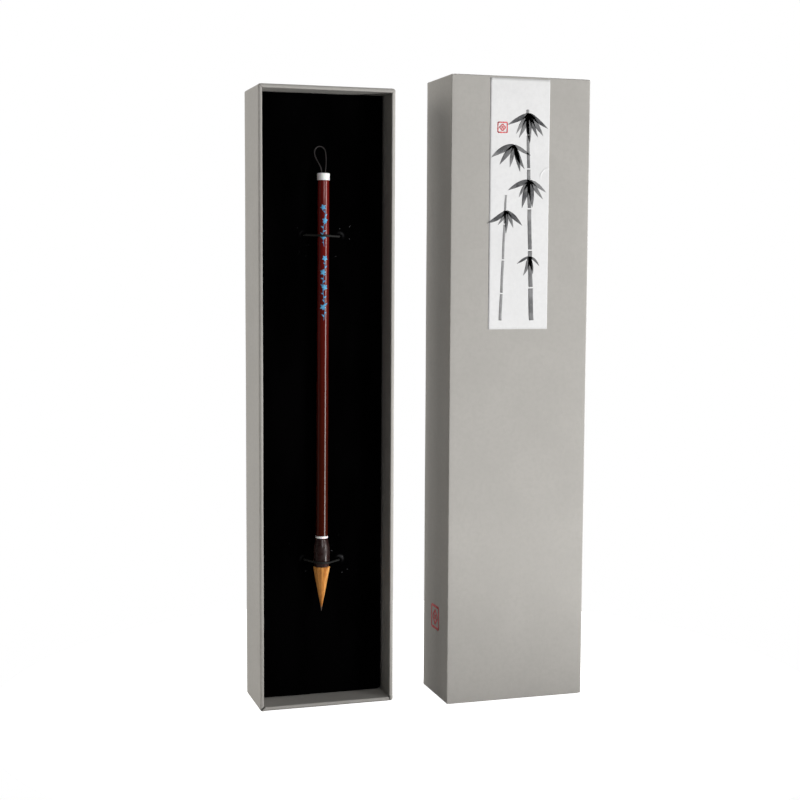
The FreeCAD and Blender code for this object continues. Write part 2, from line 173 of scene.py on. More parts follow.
class PaperSettings(bpy.types.PropertyGroup):
    """Papers and boards of the tray and the lid."""
    wrap: colour("Wrap", 0.405, 0.390, 0.365, "Grey paper outside, on the rims and turned in")
    liner: colour("Liner", 0.46, 0.45, 0.43, "Paper inside, below the turned-in wrap")
    board: colour("Board", 0.30, 0.27, 0.23, "Greyboard under the papers")
    tape: colour("Corner tape", 0.55, 0.47, 0.35, "Paper tape of the corner stays")
    label: colour("Label", 0.745, 0.743, 0.742, "Paper of the label on the lid's face")
    ink: colour("Ink", 0.055, 0.056, 0.060, "Darkest wash of the printed bamboo")
    seal: colour("Seal", 0.47, 0.07, 0.075, "Red of the two plain seals")
    thickness: size("Paper", 0.2, "Thickness of the wrapping paper")
    tray_corner: size("Tray corner", 1.2, "Radius of the corners of the tray's outline")
    lid_corner: size("Lid corner", 0.55, "Radius of the corners of the lid's outline")
    panel_fold: size("Panel fold", 0.6, "Radius of the wrap round the closed panel")
    rim_out: size("Rim, outside", 1.35, "Reach across the rim of the wrap's outer round")
    rim_down: size("Rim, down", 1.25, "Reach down the wall of the wrap's outer round")
    rim_proud: size("Rim, proud", 0.15, "Rise of the folded wrap over the packed rim")
    rim_in: size("Rim, inside", 0.45, "Radius of the wrap where it turns down the inside")
    wave: size("Waves", 0.05, "Height of the slow waves in the glued paper")
    flap_step: size("Flap step", 0.11, "Rise of the end flaps over the paper turned round the corners")
    flap_setback: size("Flap setback", 1.5, "End flaps' edges in from the corners")
    mark_step: size("Print", 0.02, "Thickness of printed and stamped marks")


class InsertSettings(bpy.types.PropertyGroup):
    """Velvet pad and elastic bands."""
    velvet: colour("Velvet", 0.0006, 0.00055, 0.0006, "Pile of the velvet")
    foam: colour("Foam", 0.035, 0.035, 0.037, "Foam that shows at the pad's back")
    elastic: colour("Elastic", 0.0055, 0.0055, 0.0048, "Cover yarn of the elastic bands")
    velvet_thickness: size("Velvet", 0.6, "Thickness of the velvet with its pile")
    shoulder: size("Shoulder", 2.0, "Rounding of the pad's front edges")
    crown: size("Crown", 0.6, "Rise of the pad between its long edges")
    swell: size("Swell", 0.45, "Most that the velvet puffs up between its edges and the bands")
    press: size("Press", 0.2, "Depth to which the brush presses the velvet")
    dimple: size("Dimple", 0.9, "Depth of the velvet drawn in at a band's hole")
    pucker: size("Pucker", 0.55, "Height of the folds pinched up beside a band's hole")
    band_bend: size("Band bend", 1.6, "Centre line radius of a band where it leaves its hole")
    band_radius: size("Band", 0.42, "Radius of a band")
    band_room: size("Band room", 0.1, "Foam to band in the slots of the pad's back")
    knot_radius: size("Knot", 1.2, "Radius of the knot behind the pad")
    upper_slope: number("Upper slope", 0.036, "Fall of the upper band to the right, per length")
    lower_slope: number("Lower slope", 0.055, "Fall of the lower band to the right, per length")


class BrushSettings(bpy.types.PropertyGroup):
    """Writing brush and its hanging loop."""
    lacquer: colour("Lacquer", 0.080, 0.0095, 0.0055, "Dark red lacquer of the barrel")
    motif: colour("Sprays", 0.065, 0.30, 0.55, "Blue paint of the flower sprays on the barrel")
    trim: colour("Trim", 0.90, 0.885, 0.89, "White cap and ring")
    horn: colour("Horn", 0.019, 0.0088, 0.0082, "Dark ferrule")
    hair: colour("Hair", 0.72, 0.335, 0.080, "Hair at the belly of the tuft")
    hair_tip: colour("Hair tip", 0.16, 0.135, 0.115, "Worn tips of the longest hairs")
    cord: colour("Cord", 0.012, 0.009, 0.009, "Hanging loop")
    thread: colour("Thread", 0.50, 0.46, 0.38, "Thread that binds the root of the hair")
    peg: colour("Peg", 0.42, 0.27, 0.14, "Wooden peg between the loop's legs")
    cord_radius: size("Cord", 0.36, "Radius of the hanging loop")
    belly: size("Belly", 4.25, "Radius of the hair at the ferrule's mouth")
    strands: IntProperty(name="Strands", description="Locks of hair on the tuft", default=1400, min=100)


class StageSettings(bpy.types.PropertyGroup):
    """Camera, lamps and floor."""
    camera_place: FloatVectorProperty(name="Camera", description="Place of the camera", subtype="XYZ",
                                      unit="LENGTH", default=(-0.2348971, -0.7288451, 0.2245973))
    camera_turn: turn("Turn", 17.24284, "Camera turned right of straight ahead")
    camera_tilt: turn("Tilt", 5.1553, "Camera tilted down")
    camera_roll: turn("Roll", 0.29375, "Camera rolled clockwise")
    lens: number("Lens", 66.6144, "Focal length in millimetres, 36 mm sensor", unit="CAMERA")
    key: number("Key", 17.8, "Power of the tall softbox", subtype="POWER")
    fill: number("Fill", 4.6, "Power of the small lamp above the camera", subtype="POWER")
    side: number("Side", 6.3, "Power of the warm lamp on the left", subtype="POWER")
    behind: number("Behind", 1.15, "Light from the white backdrop")
    ahead: number("Ahead", 0.045, "Light from the dim room behind the camera")
    floor: colour("Floor", 0.80, 0.80, 0.80, "Pale floor")
    floor_lift: number("Floor lift", 1.0, "Added to the floor where it is seen")
    floor_radius: size("Floor radius", 220, "Radius of the round floor")
    floor_drop: size("Floor drop", 0.35, "Floor below the foot of the packed solids")


# Surfaces: points with faces, texture places and marks


class Surface:
    """Points (n, 3), faces as arrays of corner numbers, a texture place per corner, and marks per point."""

    def __init__(self, points, faces, places, marks=None):
        self.points = points
        self.faces = faces
        self.places = places
        self.marks = marks or {}


def grid(points, wrap=False, close=False, flip=False, u=None, v=None, marks=None):
    """Skin over a grid of points (rows, columns, 3). wrap joins each row's end to its start, close adds a
    pole at the middle of the first and last row, and flip turns the faces round. u runs along the columns
    and v along the rows, both from 0 to 1 unless given."""
    rows, columns = points.shape[:2]
    spans = columns if wrap else columns - 1
    row, column = np.meshgrid(np.arange(rows - 1), np.arange(spans), indexing="ij")
    after = (column + 1) % columns
    corners = [(row, column), (row, after), (row + 1, after), (row + 1, column)]
    quads = np.stack([r * columns + c for r, c in corners], axis=-1).reshape(-1, 4)
    u = np.linspace(0, 1, spans + 1) if u is None else u
    v = np.linspace(0, 1, rows) if v is None else v
    sides = [(column, row), (column + 1, row), (column + 1, row + 1), (column, row + 1)]
    places = np.stack([np.stack([u[c], v[r]], axis=-1) for c, r in sides], axis=-2).reshape(-1, 4, 2)
    flat = points.reshape(-1, 3)
    marks = {name: np.broadcast_to(value, (rows, columns)).ravel() for name, value in (marks or {}).items()}
    faces, face_places = [quads], [places]
    if close:
        first, second = np.arange(spans), (np.arange(spans) + 1) % columns
        for start, pole, at in ((0, len(flat), 0), ((rows - 1) * columns, len(flat) + 1, -1)):
            fan = np.stack([second + start, first + start, np.full(spans, pole)], axis=-1)
            faces.append(fan if at == 0 else fan[:, ::-1])
            middle = (u[:-1] + u[1:]) / 2
            tips = np.stack([np.stack([u[1:], u[:-1], middle], axis=-1), np.full((spans, 3), v[at])], axis=-1)
            face_places.append(tips if at == 0 else tips[:, ::-1])
        flat = np.vstack([flat, points[0].mean(axis=0), points[-1].mean(axis=0)])
        marks = {name: np.append(value, [value[0], value[-1]]) for name, value in marks.items()}
    if flip:
        faces = [face[:, ::-1] for face in faces]
        face_places = [place[:, ::-1] for place in face_places]
    return Surface(flat, faces, face_places, marks)


def joined(surfaces):
    """Several surfaces as one; marks that a surface lacks are 0 there."""
    names = sorted({name for surface in surfaces for name in surface.marks})
    starts = np.cumsum([0] + [len(surface.points) for surface in surfaces])
    faces = [face + start for surface, start in zip(surfaces, starts) for face in surface.faces]
    places = [place for surface in surfaces for place in surface.places]
    marks = {
        name: np.concatenate([s.marks.get(name, np.zeros(len(s.points))) for s in surfaces])
        for name in names
    }
    return Surface(np.vstack([surface.points for surface in surfaces]), faces, places, marks)


def repeated(one, count):
    """Faces of a surface repeated a number of times, each time on points of its own."""
    starts = np.arange(count)[:, None, None] * len(one.points)
    return [(face[None] + starts).reshape(-1, face.shape[1]) for face in one.faces]


def outward(points, wrap):
    """Unit normals of a grid: along the columns crossed with along the rows, by central differences."""
    if wrap:
        across = np.roll(points, -1, axis=1) - np.roll(points, 1, axis=1)
    else:
        across = np.gradient(points, axis=1)
    normals = np.cross(across, np.gradient(points, axis=0))
    return normals / np.maximum(np.linalg.norm(normals, axis=-1, keepdims=True), 1e-12)


def smooth_step(low, high, value):
    """0 below low, 1 above high and a smooth cubic between."""
    t = np.clip((value - low) / (high - low), 0, 1)
    return t * t * (3 - 2 * t)


def bell(value, width):
    """Bell curve: 1 at 0 and falling to 1/e at the width."""
    return np.exp(-(value / width) ** 2)


def make_piece(name, surface, body, slot, material, replaces=(), weld=False, thickness=0.0, sharp=None):
    """Object of a surface that rides a body. weld merges points that coincide, thickness gives a sheet its
    other side, and sharp is the angle in degrees past which an edge stays crisp."""
    mesh = bpy.data.meshes.new(name)
    corners = np.concatenate([face.ravel() for face in surface.faces])
    counts = np.concatenate([np.full(len(face), face.shape[1]) for face in surface.faces])
    mesh.vertices.add(len(surface.points))
    mesh.vertices.foreach_set("co", surface.points.astype(np.float32).ravel())
    mesh.loops.add(len(corners))
    mesh.loops.foreach_set("vertex_index", corners.astype(np.int32))
    mesh.polygons.add(len(counts))
    mesh.polygons.foreach_set("loop_start", (np.cumsum(counts) - counts).astype(np.int32))
    mesh.update(calc_edges=True)
    places = np.concatenate([place.reshape(-1, 2) for place in surface.places])
    mesh.uv_layers.new(name="place").uv.foreach_set("vector", places.astype(np.float32).ravel())
    for mark, values in surface.marks.items():
        layer = mesh.attributes.new(mark, "FLOAT", "POINT")
        layer.data.foreach_set("value", values.astype(np.float32))
    if weld:
        loose = bmesh.new()
        loose.from_mesh(mesh)
        bmesh.ops.remove_doubles(loose, verts=loose.verts, dist=1e-7)
        loose.to_mesh(mesh)
        loose.free()
    mesh.polygons.foreach_set("use_smooth", np.ones(len(mesh.polygons), bool))
    if sharp:
        mesh.set_sharp_from_angle(angle=math.radians(sharp))
    mesh.materials.append(material)
    piece = bpy.data.objects.new(name, mesh)
    bpy.context.scene.collection.objects.link(piece)
    if thickness:
        sheet = piece.modifiers.new("Thickness", "SOLIDIFY")
        sheet.thickness = thickness
        sheet.offset = -1
    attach(piece, body)
    if replaces:
        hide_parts(*replaces)
    return piece


def lathe(outline, sides=72, ring=False, v=None):
    """Outline of heights and radii, listed up its outer side, turned about Z. A ring's outline closes on
    itself, and any other ends in flat poles."""
    outline = np.vstack([outline, outline[:1]]) if ring else np.array(outline)
    angle = np.linspace(0, 2 * np.pi, sides, endpoint=False)
    across = outline[:, 1, None, None] * np.stack([np.cos(angle), np.sin(angle)], axis=-1)
    up = np.broadcast_to(outline[:, 0, None, None], (len(outline), sides, 1))
    return grid(np.concatenate([across, up], axis=-1), wrap=True, close=not ring, v=v)


def run_along(path):
    """Lengths along a path from its start to each of its points."""
    return np.append(0, np.cumsum(np.linalg.norm(np.diff(path, axis=0), axis=1)))


def tube(path, radius, reference, sides=16, lobes=0, twist=0.0, relief=0.0, tall=1.0):
    """Tube along a path: its section stands square to the path, turned from a reference direction, in which
    it is tall times as wide. lobes and relief raise plies on it, and twist is their turn, in radians per
    metre along the path."""
    along = np.gradient(path, axis=0)
    along /= np.linalg.norm(along, axis=1, keepdims=True)
    side = np.cross(along, reference)
    side /= np.linalg.norm(side, axis=1, keepdims=True)
    up = np.cross(side, along) * tall
    run = run_along(path)
    angle = np.linspace(0, 2 * np.pi, sides, endpoint=False)
    ply = np.abs(np.cos((angle + twist * run[:, None]) * lobes / 2)) if lobes else np.ones((len(path), sides))
    reach = radius * (1 - relief + relief * ply)
    ring = np.cos(angle)[:, None] * side[:, None] + np.sin(angle)[:, None] * up[:, None]
    points = path[:, None] + reach[..., None] * ring
    return grid(points, wrap=True, close=True, flip=True, v=run / run[-1], marks={"ply": ply})


# Finishes


class Nodes:
    """A node tree under construction: adds nodes, links sockets and sets constants."""

    def __init__(self, tree):
        self.tree = tree

    def feed(self, socket, value):
        """Gives a socket a link or a constant."""
        if isinstance(value, bpy.types.NodeSocket):
            self.tree.links.new(value, socket)
        else:
            socket.default_value = value

    def node(self, kind, inputs=None, **settings):
        made = self.tree.nodes.new(kind)
        for key, value in settings.items():
            setattr(made, key, value)
        for key, value in (inputs or {}).items():
            self.feed(made.inputs[key], value)
        return made

    def math(self, operation, *values):
        made = self.node("ShaderNodeMath", operation=operation)
        for socket, value in zip(made.inputs, values):
            self.feed(socket, value)
        return made.outputs["Value"]

    def between(self, value, low, high, to_low=0.0, to_high=1.0):
        """Value carried from one range to another by a smooth cubic and held at its ends."""
        return self.node("ShaderNodeMapRange", {
            "Value": value, "From Min": low, "From Max": high, "To Min": to_low, "To Max": to_high,
        }, interpolation_type="SMOOTHSTEP").outputs["Result"]

    def seen(self):
        """1 for what the camera sees, straight or through something clear, and 0 for other rays."""
        rays = self.node("ShaderNodeLightPath").outputs
        return self.math("MAXIMUM", rays["Is Camera Ray"], rays["Is Transmission Ray"])


class Finish(Nodes):
    """A material under construction, and the tone that its layers have given it so far."""

    def __init__(self, name, tone, **shader):
        self.material = bpy.data.materials.new(name)
        self.material.use_nodes = True
        super().__init__(self.material.node_tree)
        self.tone = tone
        self.shader = self.tree.nodes["Principled BSDF"]
        self.coords = self.node("ShaderNodeTexCoord")
        for key, value in shader.items():
            self.set(key.replace("_", " "), value)

    def set(self, key, value):
        """Gives an input of the main shader a constant or a link; its name is matched in any case."""
        found = next(socket for socket in self.shader.inputs if socket.name.lower() == key.lower())
        self.feed(found, value)

    def noise(self, scale, detail, stretch=(1, 1, 1)):
        """Cloudy pattern between 0 and 1; stretch multiplies the scale along each axis."""
        place = self.node("ShaderNodeMapping", {"Vector": self.coords.outputs["Object"], "Scale": stretch})
        return self.node("ShaderNodeTexNoise", {
            "Vector": place.outputs["Vector"], "Scale": scale, "Detail": detail,
        }).outputs["Fac"]

    def mark(self, name):
        """Mark of the surface's points."""
        return self.node("ShaderNodeAttribute", attribute_name=name).outputs["Fac"]

    def place(self, axis):
        """u or v of the piece's own texture place."""
        parts = self.node("ShaderNodeSeparateXYZ", {"Vector": self.coords.outputs["UV"]})
        return parts.outputs["X" if axis == "u" else "Y"]

    def cover(self, share, shade):
        """Lays a colour over the tone, by a share."""
        made = self.node("ShaderNodeMix", data_type="RGBA")
        self.feed(made.inputs["Factor"], share)
        for key, value in ((6, self.tone), (7, shade)):
            self.feed(made.inputs[key], value if isinstance(value, bpy.types.NodeSocket) else (*value, 1))
        self.tone = made.outputs[2]

    def rise(self, pattern, low, high, shade, most=1.0):
        """Lays a colour over the tone, by a share that grows to the most as a pattern goes from low to
        high."""
        self.cover(self.between(pattern, low, high, 0, most), shade)

    def done(self, *bumps):
        """The material with its tone, and with stacked bumps of (height, distance in metres)."""
        self.set("Base Color", self.tone)
        normal = None
        for height, distance in bumps:
            inputs = {"Height": height, "Distance": distance, "Strength": 1.0}
            if normal:
                inputs["Normal"] = normal
            normal = self.node("ShaderNodeBump", inputs).outputs["Normal"]
        if normal:
            self.set("Normal", normal)
        return self.material


def toned(shade, factor):
    """Colour times a factor, or times one for each of its parts, held below 1."""
    return tuple(np.minimum(np.array(shade) * factor, 1.0))


def paper_finish(name, shade, scuffs_and_slit_shade=False):
    """Uncoated paper: slow clouds, felt marks, fine fibres, and pale scuffs and dark slits where the marks of
    these names are high; the slits' darkness is painted shade of the gaps between folded papers, with a
    little glue."""
    finish = Finish(name, toned(shade, 0.975), specular_ior_level=0.25)
    felt = finish.noise(520, 5)
    fibres = finish.noise(1500, 4, (1, 1, 0.3))
    finish.rise(finish.noise(38, 4), 0.3, 0.7, toned(shade, 1.025))
    finish.rise(felt, 0.35, 0.75, toned(shade, 0.93), 0.5)
    finish.rise(fibres, 0.62, 0.8, toned(shade, 1.14), 0.45)
    if scuffs_and_slit_shade:
        worn = finish.math("MULTIPLY", finish.mark("scuff"), finish.between(felt, 0.42, 0.68))
        finish.cover(finish.math("MULTIPLY", worn, 0.35), toned(shade, 1.3))
        # painted shade: the slits between the folded papers darkened almost to black, with a little glue
        finish.rise(finish.mark("slit"), 0.15, 0.8, toned(shade, 0.12))
    finish.set("Roughness", finish.between(felt, 0.2, 0.8, 0.72, 0.88))
    return finish.done((felt, 0.00003), (fibres, 0.00002))


def board_finish(name, shade):
    """Recycled greyboard: mottled pulp with dark specks."""
    finish = Finish(name, toned(shade, 0.85), roughness=0.95, specular_ior_level=0.1)
    pulp = finish.noise(240, 6)
    finish.rise(pulp, 0.3, 0.7, toned(shade, 1.12))
    finish.rise(finish.noise(1900, 2), 0.68, 0.74, toned(shade, 0.4), 0.6)
    return finish.done((pulp, 0.00005))


def velvet_finish(name, shade):
    """Black pile: almost no straight reflection, a soft sheen at the edges, nap brushed two ways, a painted
    sheen of grey on the folds bunched round the bands' holes where its mark is high, and lint where the crush
    mark is high."""
    finish = Finish(name, toned(shade, 0.7), roughness=1.0, specular_ior_level=0.0, sheen_weight=0.010,
                    sheen_roughness=0.42, sheen_tint=(0.75, 0.75, 0.8, 1))
    nap = finish.noise(55, 3, (1, 1, 0.35))
    pile = finish.noise(3600, 2)
    lint = finish.between(finish.noise(700, 1), 0.74, 0.79)
    finish.rise(nap, 0.35, 0.65, toned(shade, 1.5))
    # painted sheen: grey on the folds bunched round the holes, where their pile would catch the light
    finish.cover(finish.mark("pinch"), (0.05, 0.05, 0.052))
    finish.cover(finish.math("MULTIPLY", lint, finish.mark("crush")), (0.12, 0.12, 0.125))
    return finish.done((nap, 0.0004), (pile, 0.0002))


def foam_finish(name, shade):
    """Open-celled foam: small pits, with painted shade darkening their insides."""
    finish = Finish(name, toned(shade, 0.45), roughness=0.95, specular_ior_level=0.1)
    cells = finish.node("ShaderNodeTexVoronoi", {
        "Vector": finish.coords.outputs["Object"], "Scale": 1700.0,
    }).outputs["Distance"]
    # painted shade: dark at the bottom of each pit, lighter on the cell walls
    finish.rise(cells, 0.1, 0.6, toned(shade, 1.3))
    return finish.done((cells, 0.00025))


def elastic_finish(name, shade):
    """Covered elastic: yarn that crosses in a fine braid, dull on top, with painted shade darkening the
    grooves between.
    """
    finish = Finish(name, toned(shade, 0.35), roughness=0.62, specular_ior_level=0.35)
    fuzz = finish.noise(3000, 3)
    # painted shade: the ply mark keeps the grooves between the plies dark and lightens the crests
    finish.cover(finish.mark("ply"), toned(shade, 1.6))
    finish.rise(fuzz, 0.4, 0.7, toned(shade, 2.2), 0.4)
    return finish.done((fuzz, 0.00004))


def lacquer_finish(name, shade):
    """Clear gloss over red that is dark at the barrel's foot, v 0, and brighter and redder towards its head,
    v 1, which is painted light, as the head is lit more than the foot; with faint grain along the barrel and
    slow changes of depth."""
    foot = toned(shade, (0.62, 0.62, 0.4))
    finish = Finish(name, foot, roughness=0.5, specular_ior_level=0.0, coat_weight=0.6, coat_roughness=0.1,
                    coat_ior=1.45)
    grain = finish.noise(900, 5, (1, 1, 0.02))
    # painted light: the barrel is painted brighter and redder towards its head, where more light falls
    finish.rise(finish.place("v"), 0.15, 1.0, toned(shade, (2.1, 0.8, 1.2)))
    finish.cover(finish.between(grain, 0.35, 0.65, 0.4, 0), toned(foot, 0.6))
    finish.rise(finish.noise(45, 3, (1, 1, 0.4)), 0.4, 0.7, toned(foot, 0.7), 0.35)
    return finish.done((grain, 0.00001))


def trim_finish(name, shade):
    """White bone: faint pores along the grain and a warmer shade in patches."""
    finish = Finish(name, shade, roughness=0.4, specular_ior_level=0.5, subsurface_weight=0.15,
                    subsurface_scale=0.0008)
    pores = finish.noise(1300, 3, (1, 1, 0.12))
    finish.rise(finish.noise(260, 2), 0.35, 0.7, toned(shade, (1, 0.98, 0.95)), 0.6)
    finish.rise(pores, 0.64, 0.72, toned(shade, 0.6), 0.5)
    return finish.done((pores, 0.00002))


def horn_finish(name, shade):
    """Dark horn: brown streaks that run along it, polished in patches."""
    finish = Finish(name, shade, specular_ior_level=0.24)
    streaks = finish.noise(420, 5, (1, 1, 0.07))
    finish.rise(streaks, 0.42, 0.72, toned(shade, (2.3, 1.9, 1.8)))
    finish.set("Roughness", finish.between(finish.noise(380, 2), 0.35, 0.65, 0.2, 0.5))
    return finish.done((streaks, 0.000012))


def hair_finish(name, shade, tip):
    """Locks of different brown, darker in patches: u is a lock's own shade and v runs from the tip to the
    root."""
    fox = toned(shade, (0.70, 0.55, 0.45))
    finish = Finish(name, fox, roughness=0.45, specular_ior_level=0.18)
    lock, up = finish.place("u"), finish.place("v")
    finish.rise(lock, 0.0, 0.45, shade)
    finish.rise(lock, 0.45, 1.0, toned(shade, (1.25, 1.35, 1.7)))
    finish.rise(finish.noise(520, 2, (1, 1, 0.3)), 0.48, 0.68, fox, 0.7)
    finish.cover(finish.between(up, 0.10, 0.42, 1, 0), toned(fox, 0.9))
    finish.cover(finish.between(up, 0.05, 0.17, 1, 0), tip)
    return finish.done((finish.noise(2600, 2, (1, 1, 0.05)), 0.00002))


def yarn_finish(name, shade):
    """Twisted cord: painted shade darkens the grooves between the plies, with stray fibres."""
    finish = Finish(name, toned(shade, 0.4), roughness=0.55, specular_ior_level=0.4)
    fibres = finish.noise(2600, 3)
    # painted shade: the ply mark keeps the grooves between the plies dark and lightens the crests
    finish.cover(finish.mark("ply"), toned(shade, 1.35))
    finish.rise(fibres, 0.45, 0.75, toned(shade, 2.6), 0.5)
    return finish.done((fibres, 0.00003))


def ink_finish(name, shade, pale):
    """Wash: u is how pale a stroke is, v runs along it, and the paper's tooth breaks it up."""
    finish = Finish(name, shade, roughness=0.8, specular_ior_level=0.2)
    pool = finish.between(finish.noise(260, 3), 0.35, 0.7, -0.08, 0.12)
    wash = finish.math("ADD", finish.place("u"), pool)
    wash = finish.math("ADD", wash, finish.between(finish.place("v"), 0.55, 1.0, 0, 0.18))
    finish.cover(wash, pale)
    finish.rise(finish.noise(1500, 4), 0.6, 0.75, pale, 0.4)
    return finish.done()


def stamp_finish(name, shade, ground):
    """Seal paste: unevenly pressed, so that the ground shows in specks."""
    finish = Finish(name, shade, roughness=0.7, specular_ior_level=0.3)
    finish.rise(finish.noise(420, 5), 0.35, 0.7, toned(shade, 1.5))
    finish.rise(finish.noise(2100, 3), 0.56, 0.7, ground, 0.6)
    return finish.done()


def wood_finish(name, shade):
    """Split wood with long grain."""
    finish = Finish(name, toned(shade, 0.6), roughness=0.7, specular_ior_level=0.3)
    grain = finish.noise(900, 5, (1, 1, 0.05))
    finish.cover(grain, toned(shade, 1.2))
    return finish.done((grain, 0.00003))


# Stage


def make_camera(stage):
    """Camera turned about the upright, tilted down, and rolled about its line of sight."""
    lens = bpy.data.cameras.new("camera")
    lens.lens = stage.lens
    camera = bpy.data.objects.new("camera", lens)
    level = Matrix.Translation(stage.camera_place) @ Matrix.Rotation(-stage.camera_turn, 4, "Z")
    tilted = level @ Matrix.Rotation(math.pi / 2 - stage.camera_tilt, 4, "X")
    camera.matrix_world = tilted @ Matrix.Rotation(stage.camera_roll, 4, "Z")
    bpy.context.scene.collection.objects.link(camera)
    bpy.context.scene.camera = camera


def make_lamp(name, power, tint, width, height, azimuth, elevation, distance, target):
    """Area lamp that faces a target, placed by its azimuth right of straight ahead and its elevation, both in
    degrees."""
    data = bpy.data.lights.new(name, "AREA")
    data.shape = "RECTANGLE"
    data.size, data.size_y = width, height
    data.energy = power
    data.color = tint
    lamp = bpy.data.objects.new(name, data)
    around, up = math.radians(azimuth), math.radians(elevation)
    away = Vector((math.sin(around) * math.cos(up), -math.cos(around) * math.cos(up), math.sin(up)))
    lamp.location = target + away * distance
    lamp.rotation_euler = away.to_track_quat("Z", "Y").to_euler()
    bpy.context.scene.collection.objects.link(lamp)


def make_world(stage):
    """White backdrop behind the object and a dim room ahead of it. The camera sees white all round, and
    gloss shows the backdrop as white as the camera sees it."""
    world = bpy.data.worlds.new("studio")
    world.use_nodes = True
    bpy.context.scene.world = world
    nodes = Nodes(world.node_tree)
    coords = nodes.node("ShaderNodeTexCoord").outputs["Generated"]
    rearward = nodes.node("ShaderNodeSeparateXYZ", {"Vector": coords}).outputs["Y"]
    backdrop = nodes.between(rearward, 0.02, 0.45)
    gloss = nodes.math("MULTIPLY", nodes.node("ShaderNodeLightPath").outputs["Is Glossy Ray"], backdrop)
    seen = nodes.math("MAXIMUM", nodes.seen(), gloss)
    light = nodes.math("MULTIPLY_ADD", backdrop, stage.behind - stage.ahead, stage.ahead)
    to_white = nodes.math("SUBTRACT", 1, light)
    background = world.node_tree.nodes["Background"].inputs
    background["Color"].default_value = (1, 1, 1, 1)
    nodes.feed(background["Strength"], nodes.math("MULTIPLY_ADD", seen, to_white, light))


def make_floor(stage):
    """Round pale table top; the camera sees it lifted to white."""
    around = np.linspace(0, 2 * np.pi, 96, endpoint=False)
    edge = np.column_stack([np.cos(around), np.sin(around), 0 * around]) * stage.floor_radius
    mesh = bpy.data.meshes.new("floor")
    mesh.from_pydata((edge - [0, 0, stage.floor_drop]).tolist(), [], [list(range(len(edge)))])
    finish = Finish("floor", toned(stage.floor, 0.99), roughness=0.9, specular_ior_level=0.0)
    finish.cover(finish.noise(3, 2), toned(stage.floor, 1.01))
    finish.set("Emission Color", (1, 1, 1, 1))
    finish.set("Emission Strength", finish.math("MULTIPLY", finish.seen(), stage.floor_lift))
    mesh.materials.append(finish.done())
    floor = bpy.data.objects.new("floor", mesh)
    bpy.context.scene.collection.objects.link(floor)


# Lamps: tint, width, height, azimuth right of straight ahead, elevation, and distance
LAMPS = [
    ("key", (1, 1, 1), 0.42, 0.9, 46, -6, 1.25),
    ("fill", (1, 1, 1), 0.5, 0.3, 2, 15, 1.3),
    ("side", (1, 0.97, 0.92), 0.8, 1.0, -106, 10, 1.3),
]


class GIFTBOX_OT_stage(bpy.types.Operator):
    """Camera at the photograph's angle, tall softbox ahead on the right, white backdrop and pale floor"""
    bl_idname = "giftbox.stage"
    bl_label = "Stage"

    def execute(self, context):
        stage = context.scene.gift_box_stage
        context.scene.view_settings.view_transform = "Standard"
        make_camera(stage)
        low, high = (np.array(corner) for corner in CAD_BOX)
        for name, *lamp in LAMPS:
            make_lamp(name, getattr(stage, name), *lamp, Vector((low + high) / 2))
        make_world(stage)
        make_floor(stage)
        return {"FINISHED"}


# Hanging loop

# Millimetres beside the brush's axis, towards the velvet and above the cap
LOOP_ROUTE = [
    (-1.00, 0.00, 0.0),
    (-1.00, 0.00, 1.2),
    (-1.38, 0.22, 2.9),
    (-2.45, 0.80, 5.2),
    (-3.75, 1.50, 7.6),
    (-4.25, 2.10, 9.9),
    (-4.05, 2.45, 11.5),
    (-3.00, 2.80, 13.05),
    (-1.28, 2.90, 13.65),
    (0.44, 2.80, 13.05),
    (1.50, 2.45, 11.5),
    (1.68, 1.75, 8.6),
    (1.52, 0.95, 5.3),
    (1.20, 0.30, 2.9),
    (1.00, 0.00, 1.2),
    (1.00, 0.00, 0.0),
]
PLIES = {"sides": 18, "lobes": 3, "twist": 3200, "relief": 0.22}


def smooth_line(route):
    """Points of the smooth curve that has a route's points as its control points."""
    data = bpy.data.curves.new("route", "CURVE")
    data.dimensions = "3D"
    spline = data.splines.new("NURBS")
    spline.points.add(len(route) - 1)
    spline.points.foreach_set("co", np.column_stack([route, np.ones(len(route))]).ravel())
    spline.order_u = 3
    spline.use_endpoint_u = True
    spline.resolution_u = 14
    curve = bpy.data.objects.new("route", data)
    mesh = bpy.data.meshes.new_from_object(curve)
    path = places_in(mesh)
    bpy.data.objects.remove(curve)
    bpy.data.curves.remove(data)
    bpy.data.meshes.remove(mesh)
    return path


class GIFTBOX_OT_hanging_loop(bpy.types.Operator):
    """Three-ply cord that leaves the cap, loops over towards the velvet and goes back into the cap, its two
    legs down the bore, and the wooden peg that wedges them"""
    bl_idname = "giftbox.hanging_loop"
    bl_label = "Hanging loop"

    def execute(self, context):
        brush = context.scene.gift_box_brush
        route = on_brush((np.array(LOOP_ROUTE) * MM) + [0, 0, CAP_TOP])
        path = smooth_line(route)
        finish = yarn_finish("cord", brush.cord)
        surface = tube(path, brush.cord_radius, BRUSH_TURN[:, 1], **PLIES)
        cord = make_piece("hanging_cord", surface, "brush", "loop_cord", finish, replaces=["hanging_loop"])
        length = run_along(path)[-1]

        heights = np.linspace(CAP_TOP, LEGS_FOOT, 60)
        legs = []
        for x, y, _ in (LOOP_ROUTE[0], LOOP_ROUTE[-1]):
            leg = np.column_stack([np.full_like(heights, x * MM), np.full_like(heights, y * MM), heights])
            legs.append(tube(on_brush(leg), brush.cord_radius, BRUSH_TURN[:, 1], **PLIES))
        make_piece("loop_leg_cords", joined(legs), "brush", "loop_cord", finish, replaces=["loop_legs"])
        paint(["loop_peg"], wood_finish("peg_wood", brush.peg))
        return {"FINISHED"}


# Wrapped boxes


